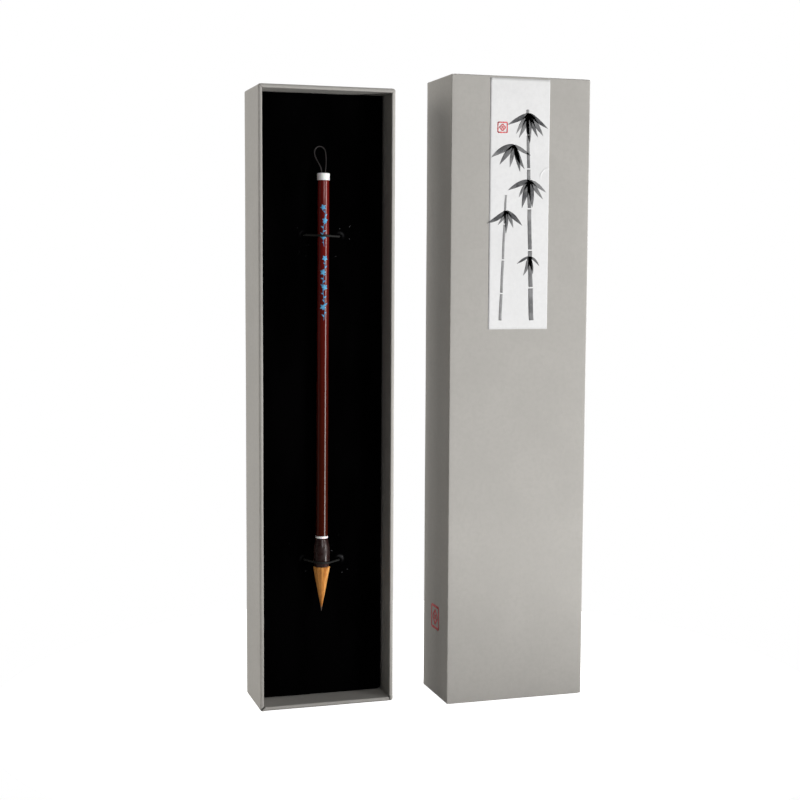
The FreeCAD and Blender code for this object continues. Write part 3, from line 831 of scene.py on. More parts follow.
class BoxSizes:
    """Sizes of a wrapped box and the way to its place from its own frame, where the rim is at y 0 and the
    lower end at z 0."""

    def __init__(self, name, paper, corner):
        low, high = box_of(name + "_wrap")
        liner_low, liner_high = box_of(name + "_liner")
        board_edge = box_of(name + "_left_board")[1][0]
        self.width, self.depth, self.length = high - low
        self.corner = corner
        self.wall = board_edge - low[0] + paper
        self.middle = (low[0] + high[0]) / 2
        self.faces_viewer = liner_low[1] - low[1] < high[1] - liner_high[1]
        self.rim = high[1] if self.faces_viewer else low[1]
        self.turn_in = abs((liner_high[1] if self.faces_viewer else liner_low[1]) - self.rim)

    def placed(self, points):
        side = np.array([-1, -1, 1] if self.faces_viewer else [1, 1, 1])
        return points * side + [self.middle, self.rim, 0]


def rounded_loops(half_x, half_z, radius, along_x, along_z, quarter):
    """Rounded rectangles about the origin, one a row: quarter circles about each corner's centre, joined by
    straight sides that are divided at given shares. Returns (rows, columns, 2) of x and z."""
    arcs = []
    for side_x, side_z, start in ((1, -1, -0.5), (1, 1, 0.0), (-1, 1, 0.5), (-1, -1, 1.0)):
        angle = np.pi * start + quarter
        x = (side_x * (half_x - radius))[:, None] + radius[:, None] * np.cos(angle)
        z = (side_z * (half_z - radius))[:, None] + radius[:, None] * np.sin(angle)
        arcs.append(np.stack([x, z], axis=-1))
    parts = []
    for here, after, shares in zip(arcs, arcs[1:] + arcs[:1], (along_z, along_x, along_z, along_x)):
        start, end = here[:, -1:], after[:, :1]
        parts += [here, start + (end - start) * shares[None, :, None]]
    return np.concatenate(parts, axis=1)


def side_shares(length, coarse):
    """Shares of a straight side: close together near both corners and coarse between."""
    near = np.concatenate([np.arange(1, 18) * 0.15, 2.7 + np.geomspace(0.3, 4.2, 7)]) * MM
    spans = max(int((length - 2 * near[-1]) / coarse), 2)
    middle = np.linspace(near[-1], length - near[-1], spans + 1)[1:-1]
    return np.concatenate([near, middle, length - near[::-1]]) / length


def wrap_profile(box, paper):
    """Inset from the outer faces and depth from the rim along the sheet: closed panel from its middle, fold,
    outer wall, over the rim in a quarter of an ellipse, and down the inside. Also a share of wear, 1 on the
    folds."""
    fold, out, turned = paper.panel_fold, paper.rim_out, paper.rim_in
    down, proud = paper.rim_down, paper.rim_proud
    bend = np.linspace(0, np.pi / 2, 9)
    panel = np.linspace(box.width / 2, fold, 16)
    wall = np.linspace(box.depth - fold, down - proud, 22)
    flat = np.linspace(out, box.wall - turned, 3)
    inside = np.linspace(turned - proud, box.turn_in, 10)
    stretches = [
        (panel, np.full_like(panel, box.depth), 0.0),
        (fold * (1 - np.sin(bend)), box.depth - fold * (1 - np.cos(bend)), 1.0),
        (np.zeros_like(wall), wall, 0.0),
        (out * (1 - np.cos(bend)), down * (1 - np.sin(bend)) - proud, 1.0),
        (flat, np.full_like(flat, -proud), 0.35),
        (box.wall - turned + turned * np.sin(bend), turned * (1 - np.cos(bend)) - proud, 0.6),
        (np.full_like(inside, box.wall), inside, 0.0),
    ]
    inset = np.concatenate([panel[:1]] + [part[0][1:] for part in stretches])
    depth = np.concatenate([[box.depth]] + [part[1][1:] for part in stretches])
    wear = np.concatenate([[0.0]] + [np.full(len(part[0]) - 1, part[2]) for part in stretches])
    return inset, depth, wear


# Rim corners: side along x, side along z, depth of the joint in millimetres, its width, the bulge of the
# folded paper beside it, and whether it is a mitre to the outer corner or a butt joint to the end's edge
RIM_JOINTS = [
    (-1, -1, 0.40, 0.62, 0.42, "mitre"),
    (1, -1, 0.34, 0.52, 0.12, "butt"),
    (-1, 1, 0.18, 0.32, 0.06, "mitre"),
    (1, 1, 0.09, 0.34, 0.10, "mitre"),
]


def rim_joints(x, z, y, box, deepest):
    """Where the turned-in flaps meet at the rim's corners: grooves that are bells across lines from each
    inner corner, lips beside them, and a bulge that is a bell about the outer corner. No groove is deeper
    than a given depth. Returns the height, and a mark for the slit along each groove whose colour is
    darkened: painted shade of the gap, with a little glue."""
    bulge_reach, rim_reach, darkest = 2.2 * MM, 1.5 * MM, 0.36
    height, slit = np.zeros_like(x), np.zeros_like(x)
    for side_x, side_z, depth, width, bulge, kind in RIM_JOINTS:
        start = np.array([side_x * (box.width / 2 - box.wall), side_z * (box.length / 2 - box.wall)])
        line = np.array([side_x * box.wall if kind == "mitre" else 0.0, side_z * box.wall])
        share = np.clip(((x - start[0]) * line[0] + (z - start[1]) * line[1]) / (line @ line), 0, 1)
        gap = np.hypot(x - start[0] - share * line[0], z - start[1] - share * line[1])
        corner = np.hypot(x - side_x * box.width / 2, z - side_z * box.length / 2)
        lip = 0.2 * depth * bell(gap - 1.6 * width * MM, 0.8 * width * MM)
        height += MM * (bulge * bell(corner, bulge_reach) + lip - depth * bell(gap, width * MM))
        # painted shade: the slit's colour darkens with the groove's depth, standing in for the shadow in the
        # gap, with a little glue
        slit = np.maximum(slit, depth / darkest * bell(gap, 0.75 * width * MM))
    near_rim = bell(y, rim_reach)
    return np.maximum(height * near_rim, -deepest), slit * near_rim


def slow_waves(x, y, z):
    """Sum of long sines, between -1 and 1, as in paper glued down by hand."""
    return (np.sin(z / 0.0153 + 2.0 * np.sin(x / 0.019)) * np.sin(x / 0.0121 + 1.3 + y / 0.011)
            + np.sin(z / 0.0271 + x / 0.033 + 0.7) * np.cos(y / 0.013 + x / 0.021)) / 2


def wrap_surface(box, paper):
    """One sheet folded over a box: rounded rectangles at each inset of the profile, raised by slow waves and
    by the end flaps, and lowered along the joints of the rim. The scuff mark is the folds' wear and a bell
    round each corner."""
    step_x, step_z, least_radius = 2.4 * MM, 3.2 * MM, 0.3 * MM
    flush, soft, calm, worn_edge = 0.05 * MM, 0.1 * MM, 6 * MM, 1.5 * MM
    inset, depth, wear = wrap_profile(box, paper)
    half_x = box.width / 2 - inset
    half_z = box.length / 2 - inset
    radius = np.minimum(np.maximum(box.corner - inset, least_radius), half_x)
    quarter = np.linspace(0, np.pi / 2, 9)
    along_x = side_shares(box.width - 2 * box.corner, step_x)
    along_z = side_shares(box.length - 2 * box.corner, step_z)
    loops = rounded_loops(half_x, half_z, radius, along_x, along_z, quarter)
    x, z = loops[..., 0], loops[..., 1]
    y = np.broadcast_to(depth[:, None], x.shape)
    points = np.stack([x, y, z + box.length / 2], axis=-1)

    end_side = np.concatenate([np.zeros(2 * len(quarter) + len(along_z)), np.ones(len(along_x))] * 2)
    outer = (inset < flush)[:, None]
    lap = smooth_step(-soft, soft, box.width / 2 - np.abs(x) - paper.flap_setback)
    height = paper.wave * slow_waves(x, y, z) * smooth_step(0, calm, box.depth / 2 + inset[:, None])
    # the second mark is painted shade with a little glue, darkening the slits of the rim's joints
    joint_height, slit = rim_joints(x, z, y, box, 0.75 * paper.thickness)
    height = height + paper.flap_step * lap * end_side * outer + joint_height
    points = points + outward(points, True) * height[..., None]

    corner = np.concatenate([np.append(bell(quarter - np.pi / 4, 0.5), np.zeros(n))
                             for n in (len(along_z), len(along_x)) * 2])
    scuff = np.maximum(wear[:, None], corner * (inset < worn_edge)[:, None])
    return grid(box.placed(points), wrap=True, marks={"scuff": scuff, "slit": slit})


def paint(nodes, material):
    """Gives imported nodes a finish."""
    for node in nodes:
        materials = frame["nodes"][node].data.materials
        materials.clear()
        materials.append(material)


class GIFTBOX_OT_boxes(bpy.types.Operator):
    """Grey paper folded over the tray and the lid, and the boards, corner stays and liners under it"""
    bl_idname = "giftbox.boxes"
    bl_label = "Wrapped boxes"

    def execute(self, context):
        paper = context.scene.gift_box_paper
        wrap = paper_finish("grey_wrap", paper.wrap, scuffs_and_slit_shade=True)
        liner = paper_finish("liner_paper", paper.liner)
        board = board_finish("greyboard", paper.board)
        tape = paper_finish("corner_tape", paper.tape)
        for name, panel, corner in (("tray", "back", paper.tray_corner), ("lid", "face", paper.lid_corner)):
            surface = wrap_surface(BoxSizes(name, paper.thickness, corner), paper)
            make_piece(name + "_paper", surface, name, "grey_wrap", wrap, replaces=[name + "_wrap"],
                       weld=True, thickness=paper.thickness)
            paint([f"{name}_{side}_board" for side in (panel, "left", "right", "top", "bottom")], board)
            paint([name + "_liner"], liner)
            paint([name + "_corner_stays"], tape)
        return {"FINISHED"}


# Printed and stamped strokes


def stroke_surface(items, leaf, steps, place):
    """Flat strokes of (start, end, width, bend, tone) in millimetres, put on a surface by a function of their
    points in metres. Each runs along the line from start to end, bowed sideways by a parabola, with a half
    width that is full along a bar and swells and tapers to points along a leaf. Its tone becomes its u."""
    starts, ends, widths, bends, tones = (np.array(values, float) for values in zip(*items))
    t = np.linspace(0, 1, steps)
    offset = np.linspace(-1, 1, 5)
    run = ends - starts
    side = np.stack([-run[:, 1], run[:, 0]], axis=-1) / np.linalg.norm(run, axis=1, keepdims=True)
    middle = starts[:, None] + run[:, None] * t[:, None]
    middle = middle + side[:, None] * (bends[:, None] * 4 * t * (1 - t))[..., None]
    swell = np.sin(np.pi * np.clip(t, 0.004, 0.996) ** 0.72) ** 0.85 if leaf else np.ones(steps)
    half = widths[:, None] / 2 * swell
    flat = middle[:, :, None] + side[:, None, None] * (half[..., None] * offset)[..., None]
    one = grid(np.zeros((steps, len(offset), 3)), u=np.zeros(len(offset)))
    places = np.broadcast_to(one.places[0], (len(items),) + one.places[0].shape).copy()
    places[..., 0] = tones[:, None, None]
    return Surface(place(flat.reshape(-1, 2) * MM), repeated(one, len(items)), [places.reshape(-1, 4, 2)])


def plant_surface(bars, leaves, steps, place):
    """Strokes of a plant's stems and leaves as one surface."""
    return joined([stroke_surface(bars, False, steps, place), stroke_surface(leaves, True, steps, place)])


# Stalks of the bamboo: foot across the label, lean, width, paleness and the lengths between joints
STALKS = [
    (7.4, -3.4, 2.5, 0.30, (17, 19, 21, 20, 17, 13)),
    (-9.6, 4.2, 1.5, 0.52, (14, 17, 18, 15)),
]
# Clusters of its leaves: place across and up, count, and length
CLUSTERS = [
    (5.2, 46.0, 7, 15.5),
    (-3.0, 30.0, 6, 14.0),
    (5.8, 12.5, 6, 13.5),
    (-6.8, -3.0, 5, 12.0),
    (5.6, -26.0, 4, 10.5),
]


def bamboo_strokes(rng):
    """Two stalks in jointed lengths and hanging clusters of leaves, in millimetres about the label's
    middle."""
    ground, height, joint = -58.5, 110, 0.7
    bars, leaves = [], []
    for foot, lean, width, tone, lengths in STALKS:
        low = ground
        for count, length in enumerate(lengths):
            x_low, x_high = (foot + lean * (z - ground) / height for z in (low, low + length))
            taper = width * (1 - 0.09 * count)
            bars.append(((x_low, low), (x_high, low + length - joint), taper, 0.12, tone))
            low += length
    for x, z, count, length in CLUSTERS:
        for angle in np.linspace(-1.05, 0.95, count) + rng.uniform(-0.12, 0.12, count):
            reach = length * rng.uniform(0.72, 1.1)
            tip = (x + reach * math.sin(angle), z - reach * math.cos(angle))
            leaves.append(((x, z), tip, reach * rng.uniform(0.17, 0.22), rng.uniform(-0.8, 0.8),
                           rng.uniform(0.0, 0.42)))
    return bars, leaves


def seal_bars(half, width, x=0.0, z=0.0):
    """Square frame about a place, a diamond inside it and a dot: a plain stamped ornament."""
    lines = [((-half, s * half), (half, s * half)) for s in (-1, 1)]
    lines += [((s * half, -half), (s * half, half)) for s in (-1, 1)]
    inner, dot = half * 0.66, width * 0.9
    corners = [(0, inner), (inner, 0), (0, -inner), (-inner, 0)]
    lines += list(zip(corners, corners[1:] + corners[:1]))
    widths = [width] * len(lines) + [width * 1.8]
    lines.append(((0, -dot), (0, dot)))
    return [((x + a, z + b), (x + c, z + d), wide, 0.0, 0.5)
            for ((a, b), (c, d)), wide in zip(lines, widths)]


def label_crease(inward, up):
    """Height of a pinched crease: a bell across a quarter circle that runs in and down from the right
    edge."""
    centre, radius = 13.9 * MM, 4.7 * MM
    tall, width, soft = 0.2 * MM, 0.3 * MM, 1 * MM
    above = up - centre
    ridge = tall * bell(np.hypot(inward, above) - radius, width)
    return ridge * smooth_step(-soft, soft, above)


class GIFTBOX_OT_label(bpy.types.Operator):
    """Paper label on the lid's face with a printed spray of bamboo and a plain red seal"""
    bl_idname = "giftbox.label"
    bl_label = "Label"
    wave = 0.02 * MM
    seal_half, seal_line = 2.5, 0.62
    seal_place = (-9.4, 38.5)

    def execute(self, context):
        paper = context.scene.gift_box_paper
        low, high = box_of("lid_label")
        middle = (low + high) / 2
        crease_x, crease_z = high[0] - 2.5 * MM, middle[2] + 16 * MM
        fine, reach = 0.2 * MM, 3 * MM
        x, z = np.meshgrid(spaced(low[0], high[0], 1.1 * MM, fine, [crease_x], reach),
                           spaced(low[2], high[2], 1.5 * MM, fine, [crease_z], reach))
        waves = self.wave * slow_waves(x * 1.7, 0 * x, z * 1.3)
        y = low[1] + waves - label_crease(high[0] - x, z - middle[2])
        surface = grid(np.stack([x, y, z], axis=-1))
        make_piece("label_sheet", surface, "lid", "label_paper", paper_finish("label_paper", paper.label),
                   replaces=["lid_label"], thickness=(high - low)[1])

        def on_label(flat):
            return np.column_stack([flat[:, 0] + middle[0],
                                    np.full(len(flat), low[1] - paper.mark_step - self.wave),
                                    flat[:, 1] + middle[2]])

        bamboo = plant_surface(*bamboo_strokes(np.random.default_rng(8)), 14, on_label)
        ink = ink_finish("ink_wash", paper.ink, toned(paper.label, 0.62))
        make_piece("label_bamboo", bamboo, "lid", "label_paper", ink, thickness=paper.mark_step)
        bars = seal_bars(self.seal_half, self.seal_line, *self.seal_place)
        seal = stroke_surface(bars, False, 4, on_label)
        stamp = stamp_finish("label_seal_paste", toned(paper.seal, 1.2), paper.label)
        make_piece("label_seal", seal, "lid", "label_paper", stamp, thickness=paper.mark_step)
        return {"FINISHED"}


class GIFTBOX_OT_side_seal(bpy.types.Operator):
    """Plain red seal stamped low on the lid's left side"""
    bl_idname = "giftbox.side_seal"
    bl_label = "Side seal"
    seal_half, seal_line = 5.7, 1.4
    behind_face = 19.6 * MM
    above_foot = 41.4 * MM

    def execute(self, context):
        paper = context.scene.gift_box_paper
        low = box_of("lid_wrap")[0]

        def on_side(flat):
            return np.column_stack([np.full(len(flat), low[0] - paper.wave - paper.mark_step),
                                    low[1] + self.behind_face - flat[:, 0],
                                    low[2] + self.above_foot + flat[:, 1]])

        surface = stroke_surface(seal_bars(self.seal_half, self.seal_line), False, 6, on_side)
        stamp = stamp_finish("side_seal_paste", paper.seal, paper.wrap)
        make_piece("side_seal", surface, "lid", "grey_wrap", stamp, thickness=paper.mark_step)
        return {"FINISHED"}


# Velvet pad and elastic bands


def spaced(low, high, step, fine, places, reach):
    """Values from low to high, a step apart, drawn closer to a fine step near given places."""
    t = np.linspace(low, high, 4000)
    density = np.full_like(t, 1 / step)
    for place in places:
        density = np.maximum(density, 1 / step + (1 / fine - 1 / step) * bell(t - place, reach))
    total = np.append(0, np.cumsum((density[1:] + density[:-1]) / 2 * np.diff(t)))
    return np.interp(np.linspace(0, total[-1], int(total[-1]) + 1), total, t)


class Band:
    """Holes, line and place of an elastic band; its line falls to the right."""

    def __init__(self, node, slope, insert):
        low, high = box_of(node)
        self.node, self.slope = node, slope
        self.left, self.right = low[0] + insert.band_radius, high[0] - insert.band_radius
        self.middle = (self.left + self.right) / 2
        self.front, self.back = low[1] + insert.band_radius, high[1] - insert.knot_radius
        self.level = (low[2] + high[2]) / 2
        self.brush = BRUSH_TIP + BRUSH_AXIS * (self.level - BRUSH_TIP[2]) / BRUSH_AXIS[2]

    def height(self, x):
        return self.level - self.slope * (x - self.brush[0])

    def holes(self):
        """Place and side of the two holes."""
        return [(x, self.height(x), side) for x, side in ((self.left, -1), (self.right, 1))]


def bands_of(insert):
    return [Band("upper_band", insert.upper_slope, insert), Band("lower_band", insert.lower_slope, insert)]


def around_holes(x, z, insert):
    """For each band's hole: distance from it, angle from its outer side upwards, its x and its side."""
    for band in bands_of(insert):
        for hole_x, hole_z, side in band.holes():
            away = np.hypot(x - hole_x, z - hole_z)
            yield away, np.arctan2(z - hole_z, (x - hole_x) * side), hole_x, side


def pad_lines(low, high, insert):
    """Points of a plane over the pad as x and z, closer together at its edges and at the bands' holes and
    knots, with square corners turned into quarter circles."""
    bands = bands_of(insert)
    across = [low[0], high[0], bands[0].left, bands[0].middle, bands[0].right]
    along = [low[2], high[2]] + [band.level for band in bands]
    reach, radius, fine = 1.8 * insert.shoulder, 1.5 * MM, 0.3 * MM
    x, z = np.meshgrid(spaced(low[0], high[0], 1.6 * MM, fine, across, reach),
                       spaced(low[2], high[2], 2.2 * MM, fine, along, reach))
    middle, half = (low + high) / 2, (high - low) / 2
    past_x = np.maximum(np.abs(x - middle[0]) - (half[0] - radius), 0)
    past_z = np.maximum(np.abs(z - middle[2]) - (half[2] - radius), 0)
    pull = 1 - np.maximum(past_x, past_z) / np.maximum(np.hypot(past_x, past_z), 1e-9)
    return x - np.sign(x - middle[0]) * past_x * pull, z - np.sign(z - middle[2]) * past_z * pull


def velvet_swell(low, high, insert):
    """How far the velvet puffs up, from a cloth as large as the pad: held along its border and at the bands'
    holes, which draw it in, it swells under pressure for 20 frames. Returns a function of x and z."""
    frames, pressure, hole_reach, firm = 20, 4.0, 2.5 * MM, 0.4
    across, along = np.linspace(low[0], high[0], 29), np.linspace(low[2], high[2], 125)
    x, z = np.meshgrid(across, along)
    drawn = sum(bell(away, hole_reach) for away, _, _, _ in around_holes(x, z, insert))
    held = drawn > firm
    held[[0, -1]] = held[:, [0, -1]] = True
    flat = grid(np.stack([x, insert.dimple * drawn, z], axis=-1))
    mesh = bpy.data.meshes.new("swelling")
    mesh.from_pydata(flat.points.tolist(), [], flat.faces[0].tolist())
    cloth = bpy.data.objects.new("swelling", mesh)
    bpy.context.scene.collection.objects.link(cloth)
    cloth.vertex_groups.new(name="held").add(np.flatnonzero(held).tolist(), 1.0, "REPLACE")
    settings = cloth.modifiers.new("Pressure", "CLOTH").settings
    settings.vertex_group_mass = "held"
    settings.use_pressure = True
    settings.uniform_pressure_force = pressure
    settings.effector_weights.gravity = 0.0
    for moment in range(1, frames + 1):
        bpy.context.scene.frame_set(moment)
    swollen = places_in(cloth.evaluated_get(bpy.context.evaluated_depsgraph_get()).data)
    bpy.context.scene.frame_set(1)
    bpy.data.objects.remove(cloth)
    bpy.data.meshes.remove(mesh)
    rise = (flat.points[:, 1] - swollen[:, 1]).reshape(x.shape)
    rise = insert.swell * np.tanh(rise / insert.swell)

    def read(x, z):
        """Linear between the cloth's points."""
        column = np.clip((x - low[0]) / (across[1] - across[0]), 0, len(across) - 1.001)
        row = np.clip((z - low[2]) / (along[1] - along[0]), 0, len(along) - 1.001)
        c, r = column.astype(int), row.astype(int)
        u, v = column - c, row - r
        return ((rise[r, c] * (1 - u) + rise[r, c + 1] * u) * (1 - v)
                + (rise[r + 1, c] * (1 - u) + rise[r + 1, c + 1] * u) * v)

    return read


def pad_front(x, z, low, high, insert):
    """Depth of the velvet behind its front: round shoulders along all edges, a crown across the width, and
    at each band's hole a dimple with spokes inside a ring of bunched velvet, higher above the right
    holes."""
    hollow, ring, ring_width, ripple = 1.5 * MM, 2.2 * MM, 0.55 * MM, 0.1 * MM
    spokes, spoke_depth, upwards = 7, 0.3, 0.75
    middle, half = (low + high) / 2, (high - low) / 2
    edge_x = np.maximum(insert.shoulder - (half[0] - np.abs(x - middle[0])), 0)
    edge_z = np.maximum(insert.shoulder - (half[2] - np.abs(z - middle[2])), 0)
    drop = insert.shoulder - np.sqrt(np.maximum(insert.shoulder ** 2 - edge_x ** 2 - edge_z ** 2, 0))
    drop = drop + insert.crown * ((x - middle[0]) / half[0]) ** 2
    for away, angle, hole_x, side in around_holes(x, z, insert):
        spread = 1 + spoke_depth * np.cos(spokes * angle + hole_x * 900)
        bunch = 0.15 + (0.85 if side > 0 else 0.3) * bell(angle - upwards, upwards)
        drop = drop + insert.dimple * bell(away, hollow) * spread
        drop = drop - insert.pucker * bunch * bell(away - ring, ring_width)
    return drop + ripple * slow_waves(x * 0.8, 0 * x, z * 0.6)


def under_brush(x, z):
    """Share by which the brush holds the velvet down: a bell across the line that runs under its axis."""
    width = 5 * MM
    line = BRUSH_TIP[0] + BRUSH_AXIS[0] / BRUSH_AXIS[2] * (z - BRUSH_TIP[2])
    return bell(x - line, width)


# How strong the painted sheen on the pinched folds and the rubbing of the velvet are at each hole, from the
# upper left to the lower right
SHEEN_AND_WEAR = (0.1, 0.5, 0.2, 1.0)


def pad_sheen_and_wear(x, z, insert):
    """Marks round the bands' holes: the painted sheen of the bunched folds is a bell across a ring, strongest
    above on the outer side, and crush is a wide bell."""
    ring, ring_width, rubbed, rubbed_width, upwards = 2 * MM, 0.5 * MM, 6 * MM, 4 * MM, 0.8
    pinch, crush = np.zeros_like(x), np.zeros_like(x)
    for (away, angle, _, _), share in zip(around_holes(x, z, insert), SHEEN_AND_WEAR):
        above = bell(angle - upwards, upwards)
        # painted sheen on the raised folds of the ring, strongest above on the outer side
        pinch = np.maximum(pinch, share * bell(away - ring, ring_width) * above)
        crush = np.maximum(crush, share * bell(away - rubbed, rubbed_width))
    return {"pinch": pinch, "crush": crush}


def back_slots(x, z, insert):
    """Depth of the slots in the foam's back: a run between each band's holes, and a deeper pocket round its
    knot, both with soft edges."""
    depth, soft = np.zeros_like(x), 0.25 * MM
    for band in bands_of(insert):
        run = insert.band_radius + insert.band_room
        pocket = insert.knot_radius + insert.band_room
        aside = np.abs(z - band.height(x))
        floor = box_of("insert_foam")[1][1] - band.back
        for half_x, half_z, bottom in ((band.right - band.middle + run, run, floor + run),
                                       (1.4 * insert.knot_radius, pocket, floor + pocket)):
            inside = smooth_step(-soft, soft, half_x - np.abs(x - band.middle))
            depth = np.maximum(depth, bottom * inside * smooth_step(-soft, soft, half_z - aside))
    return depth


def pad_sides(front, back, rows):
    """Straight sides between the borders of a front and a back."""
    def border(face):
        return np.concatenate([face[0], face[1:, -1], face[-1, -2::-1], face[-2:0:-1, 0]])

    share = np.linspace(0, 1, rows)[:, None, None]
    return grid(border(front) * (1 - share) + border(back) * share, wrap=True, flip=True)


class GIFTBOX_OT_velvet_pad(bpy.types.Operator):
    """Foam block with slots for the bands behind, and its cover of black velvet, drawn in at the bands'
    holes"""
    bl_idname = "giftbox.velvet_pad"
    bl_label = "Velvet pad"

    def execute(self, context):
        insert = context.scene.gift_box_insert
        low, high = box_of("insert_velvet")
        swell = velvet_swell(low, high, insert)
        x, z = pad_lines(low, high, insert)
        pressed = under_brush(x, z)
        puff = swell(x, z) * (1 - pressed) - insert.press * pressed
        front = np.stack([x, low[1] + pad_front(x, z, low, high, insert) - puff, z], axis=-1)
        back = np.stack([x, np.full_like(x, high[1]), z], axis=-1)
        skin = joined([grid(front, marks=pad_sheen_and_wear(x, z, insert)), pad_sides(front, back, 7)])
        cover = make_piece("velvet_pad", skin, "insert", "velvet", velvet_finish("velvet", insert.velvet),
                           replaces=["insert_velvet"], weld=True, thickness=insert.velvet_thickness)

        low, high = box_of("insert_foam")
        x, z = pad_lines(low, high, insert)
        front = np.stack([x, low[1] + pad_front(x, z, low, high, insert), z], axis=-1)
        back = np.stack([x, high[1] - back_slots(x, z, insert), z], axis=-1)
        block = joined([grid(front), pad_sides(front, back, 5), grid(back, flip=True)])
        foam = make_piece("foam_block", block, "insert", "foam", foam_finish("foam", insert.foam),
                          replaces=["insert_foam"], weld=True)
        return {"FINISHED"}


def bow(x, y, radius, side, start, end, count):
    """Points of an arc about (x, y) from one angle to another, counted from the given side to the front."""
    angle = np.linspace(start, end, count)
    return np.column_stack([x + side * radius * np.cos(angle), y - radius * np.sin(angle)])


def band_line(band, insert):
    """Centre line of a taut band: from its knot behind the foam to a corner, through the foam and out of a
    hole, round a bend, straight to the brush, round its front, and the same way back. The straight run is
    tangent to the bend and to the brush."""
    velvet = box_of("insert_velvet")[0][1]
    reach, bend = band.brush[1] - band.front, insert.band_bend
    halves = []
    for hole, _, side in band.holes():
        centre = hole - side * bend
        rise, span = velvet - band.brush[1], abs(band.brush[0] - centre)
        slope = math.atan2(rise, span) + math.asin((reach - bend) / math.hypot(rise, span))
        quarter, leave = math.pi / 2, math.pi / 2 - slope
        halves.append(np.vstack([
            [[band.middle + side * 0.5 * insert.knot_radius, band.back]],
            bow(centre, band.back - bend, bend, side, -quarter, 0, 14),
            bow(centre, velvet, bend, side, 0, leave, 14),
            bow(band.brush[0], band.brush[1], reach, side, leave, quarter, 16),
        ]))
    flat = np.vstack([halves[0], halves[1][-2::-1]])
    return np.column_stack([flat, band.height(flat[:, 0])])


def even(path, step):
    """Points an equal step apart along a path."""
    run = run_along(path)
    at = np.linspace(0, run[-1], int(run[-1] / step) + 1)
    return np.column_stack([np.interp(at, run, path[:, axis]) for axis in range(3)])


def helix(centre, axis, radius, turns, pitch, steps=36):
    """Points of a helix about a coordinate axis, half of its turns before its centre and half after."""
    wound = np.linspace(-turns / 2, turns / 2, int(turns * steps))
    angle = 2 * np.pi * wound
    around = np.stack([radius * np.cos(angle), radius * np.sin(angle)])
    return np.insert(around, axis, pitch * wound, axis=0).T + centre


class GIFTBOX_OT_elastic_bands(bpy.types.Operator):
    """Two covered elastic bands, stretched over the brush from hole to hole and tied behind the foam"""
    bl_idname = "giftbox.elastic_bands"
    bl_label = "Elastic bands"
    braid = {"sides": 24, "lobes": 6, "twist": 1900, "relief": 0.14}
    tall, knot_turns, step = 1.35, 3, 0.14 * MM

    def execute(self, context):
        insert = context.scene.gift_box_insert
        finish = elastic_finish("elastic", insert.elastic)
        thick = insert.band_radius
        for band in bands_of(insert):
            path = even(band_line(band, insert), self.step)
            tied = (band.middle, band.back, band.height(band.middle))
            knot = helix(tied, 0, insert.knot_radius - thick, self.knot_turns, 2 * thick)
            surface = joined([tube(path, thick, np.array([0.0, 0.0, 1.0]), tall=self.tall, **self.braid),
                              tube(knot, thick, np.array([1.0, 0.0, 0.0]), **self.braid)])
            make_piece(band.node.replace("band", "elastic"), surface, "insert", "elastic", finish,
                       replaces=[band.node])
        return {"FINISHED"}


# Brush


def rounded_profile(corners, radius, steps):
    """Outline of (height, radius) corners with each inner corner rounded by a parabola of a given reach."""
    corners = np.array(corners, float)
    t = np.linspace(0, 1, steps)[:, None]
    parts = [corners[:1]]
    for before, corner, after in zip(corners, corners[1:], corners[2:]):
        into = before - corner
        out = after - corner
        start = corner + into * min(radius / np.linalg.norm(into), 0.5)
        end = corner + out * min(radius / np.linalg.norm(out), 0.5)
        parts.append((1 - t) ** 2 * start + 2 * t * (1 - t) * corner + t ** 2 * end)
    parts.append(corners[-1:])
    return np.vstack(parts)


def barrel_radius(height):
    """Radius of the slender cone between ring and cap."""
    share = (height - RING_TOP) / (BARREL_TOP - RING_TOP)
    return BARREL_FOOT_RADIUS + (BARREL_TOP_RADIUS - BARREL_FOOT_RADIUS) * share


def barrel_outline():
    """Tenon, shoulder, a slender cone that swells and wanes by hundredths of a millimetre, and the loop's
    bore."""
    waver = 0.02 * MM
    height = np.linspace(RING_TOP, BARREL_TOP, 160)
    share = np.linspace(0, 1, len(height))
    radius = barrel_radius(height) + waver * (np.sin(share * 23) + np.sin(share * 61 + 1))
    tenon = [[TENON_FOOT, TENON_RADIUS], [RING_TOP, TENON_RADIUS]]
    bore = [[BARREL_TOP, BORE_RADIUS], [LEGS_FOOT - GLUE, BORE_RADIUS]]
    return np.vstack([tenon, np.column_stack([height, radius]), bore])


def cap_outline():
    """Short plain cylinder with rounded edges and the loop's bore through it."""
    middle, edge = (BARREL_TOP + CAP_TOP) / 2, 0.3 * MM
    return rounded_profile([
        (middle - GLUE, BORE_RADIUS), (BARREL_TOP, BORE_RADIUS), (BARREL_TOP, CAP_RADIUS),
        (CAP_TOP, CAP_RADIUS), (CAP_TOP, BORE_RADIUS), (middle + GLUE, BORE_RADIUS),
    ], edge, 7)


def ring_outline():
    """Ring on the tenon with a bowed outer side, an ellipse between its lips."""
    bore, middle = TENON_RADIUS + GLUE, (FERRULE_TOP + RING_TOP) / 2
    lip, step = (BARREL_FOOT_RADIUS + RING_RADIUS) / 2, 0.5 * MM
    neck = lip - step
    bow_half = 0.84 * (RING_TOP - FERRULE_TOP) / 2
    across = np.linspace(-1, 1, 15)
    reach = lip + (RING_RADIUS - lip) * np.sqrt(1 - across ** 2)
    bowed = np.column_stack([middle + across * bow_half, reach])
    return np.vstack([[[FERRULE_TOP, bore], [FERRULE_TOP, neck], [middle - bow_half, neck]], bowed,
                      [[middle + bow_half, neck], [RING_TOP, neck], [RING_TOP, bore]]])


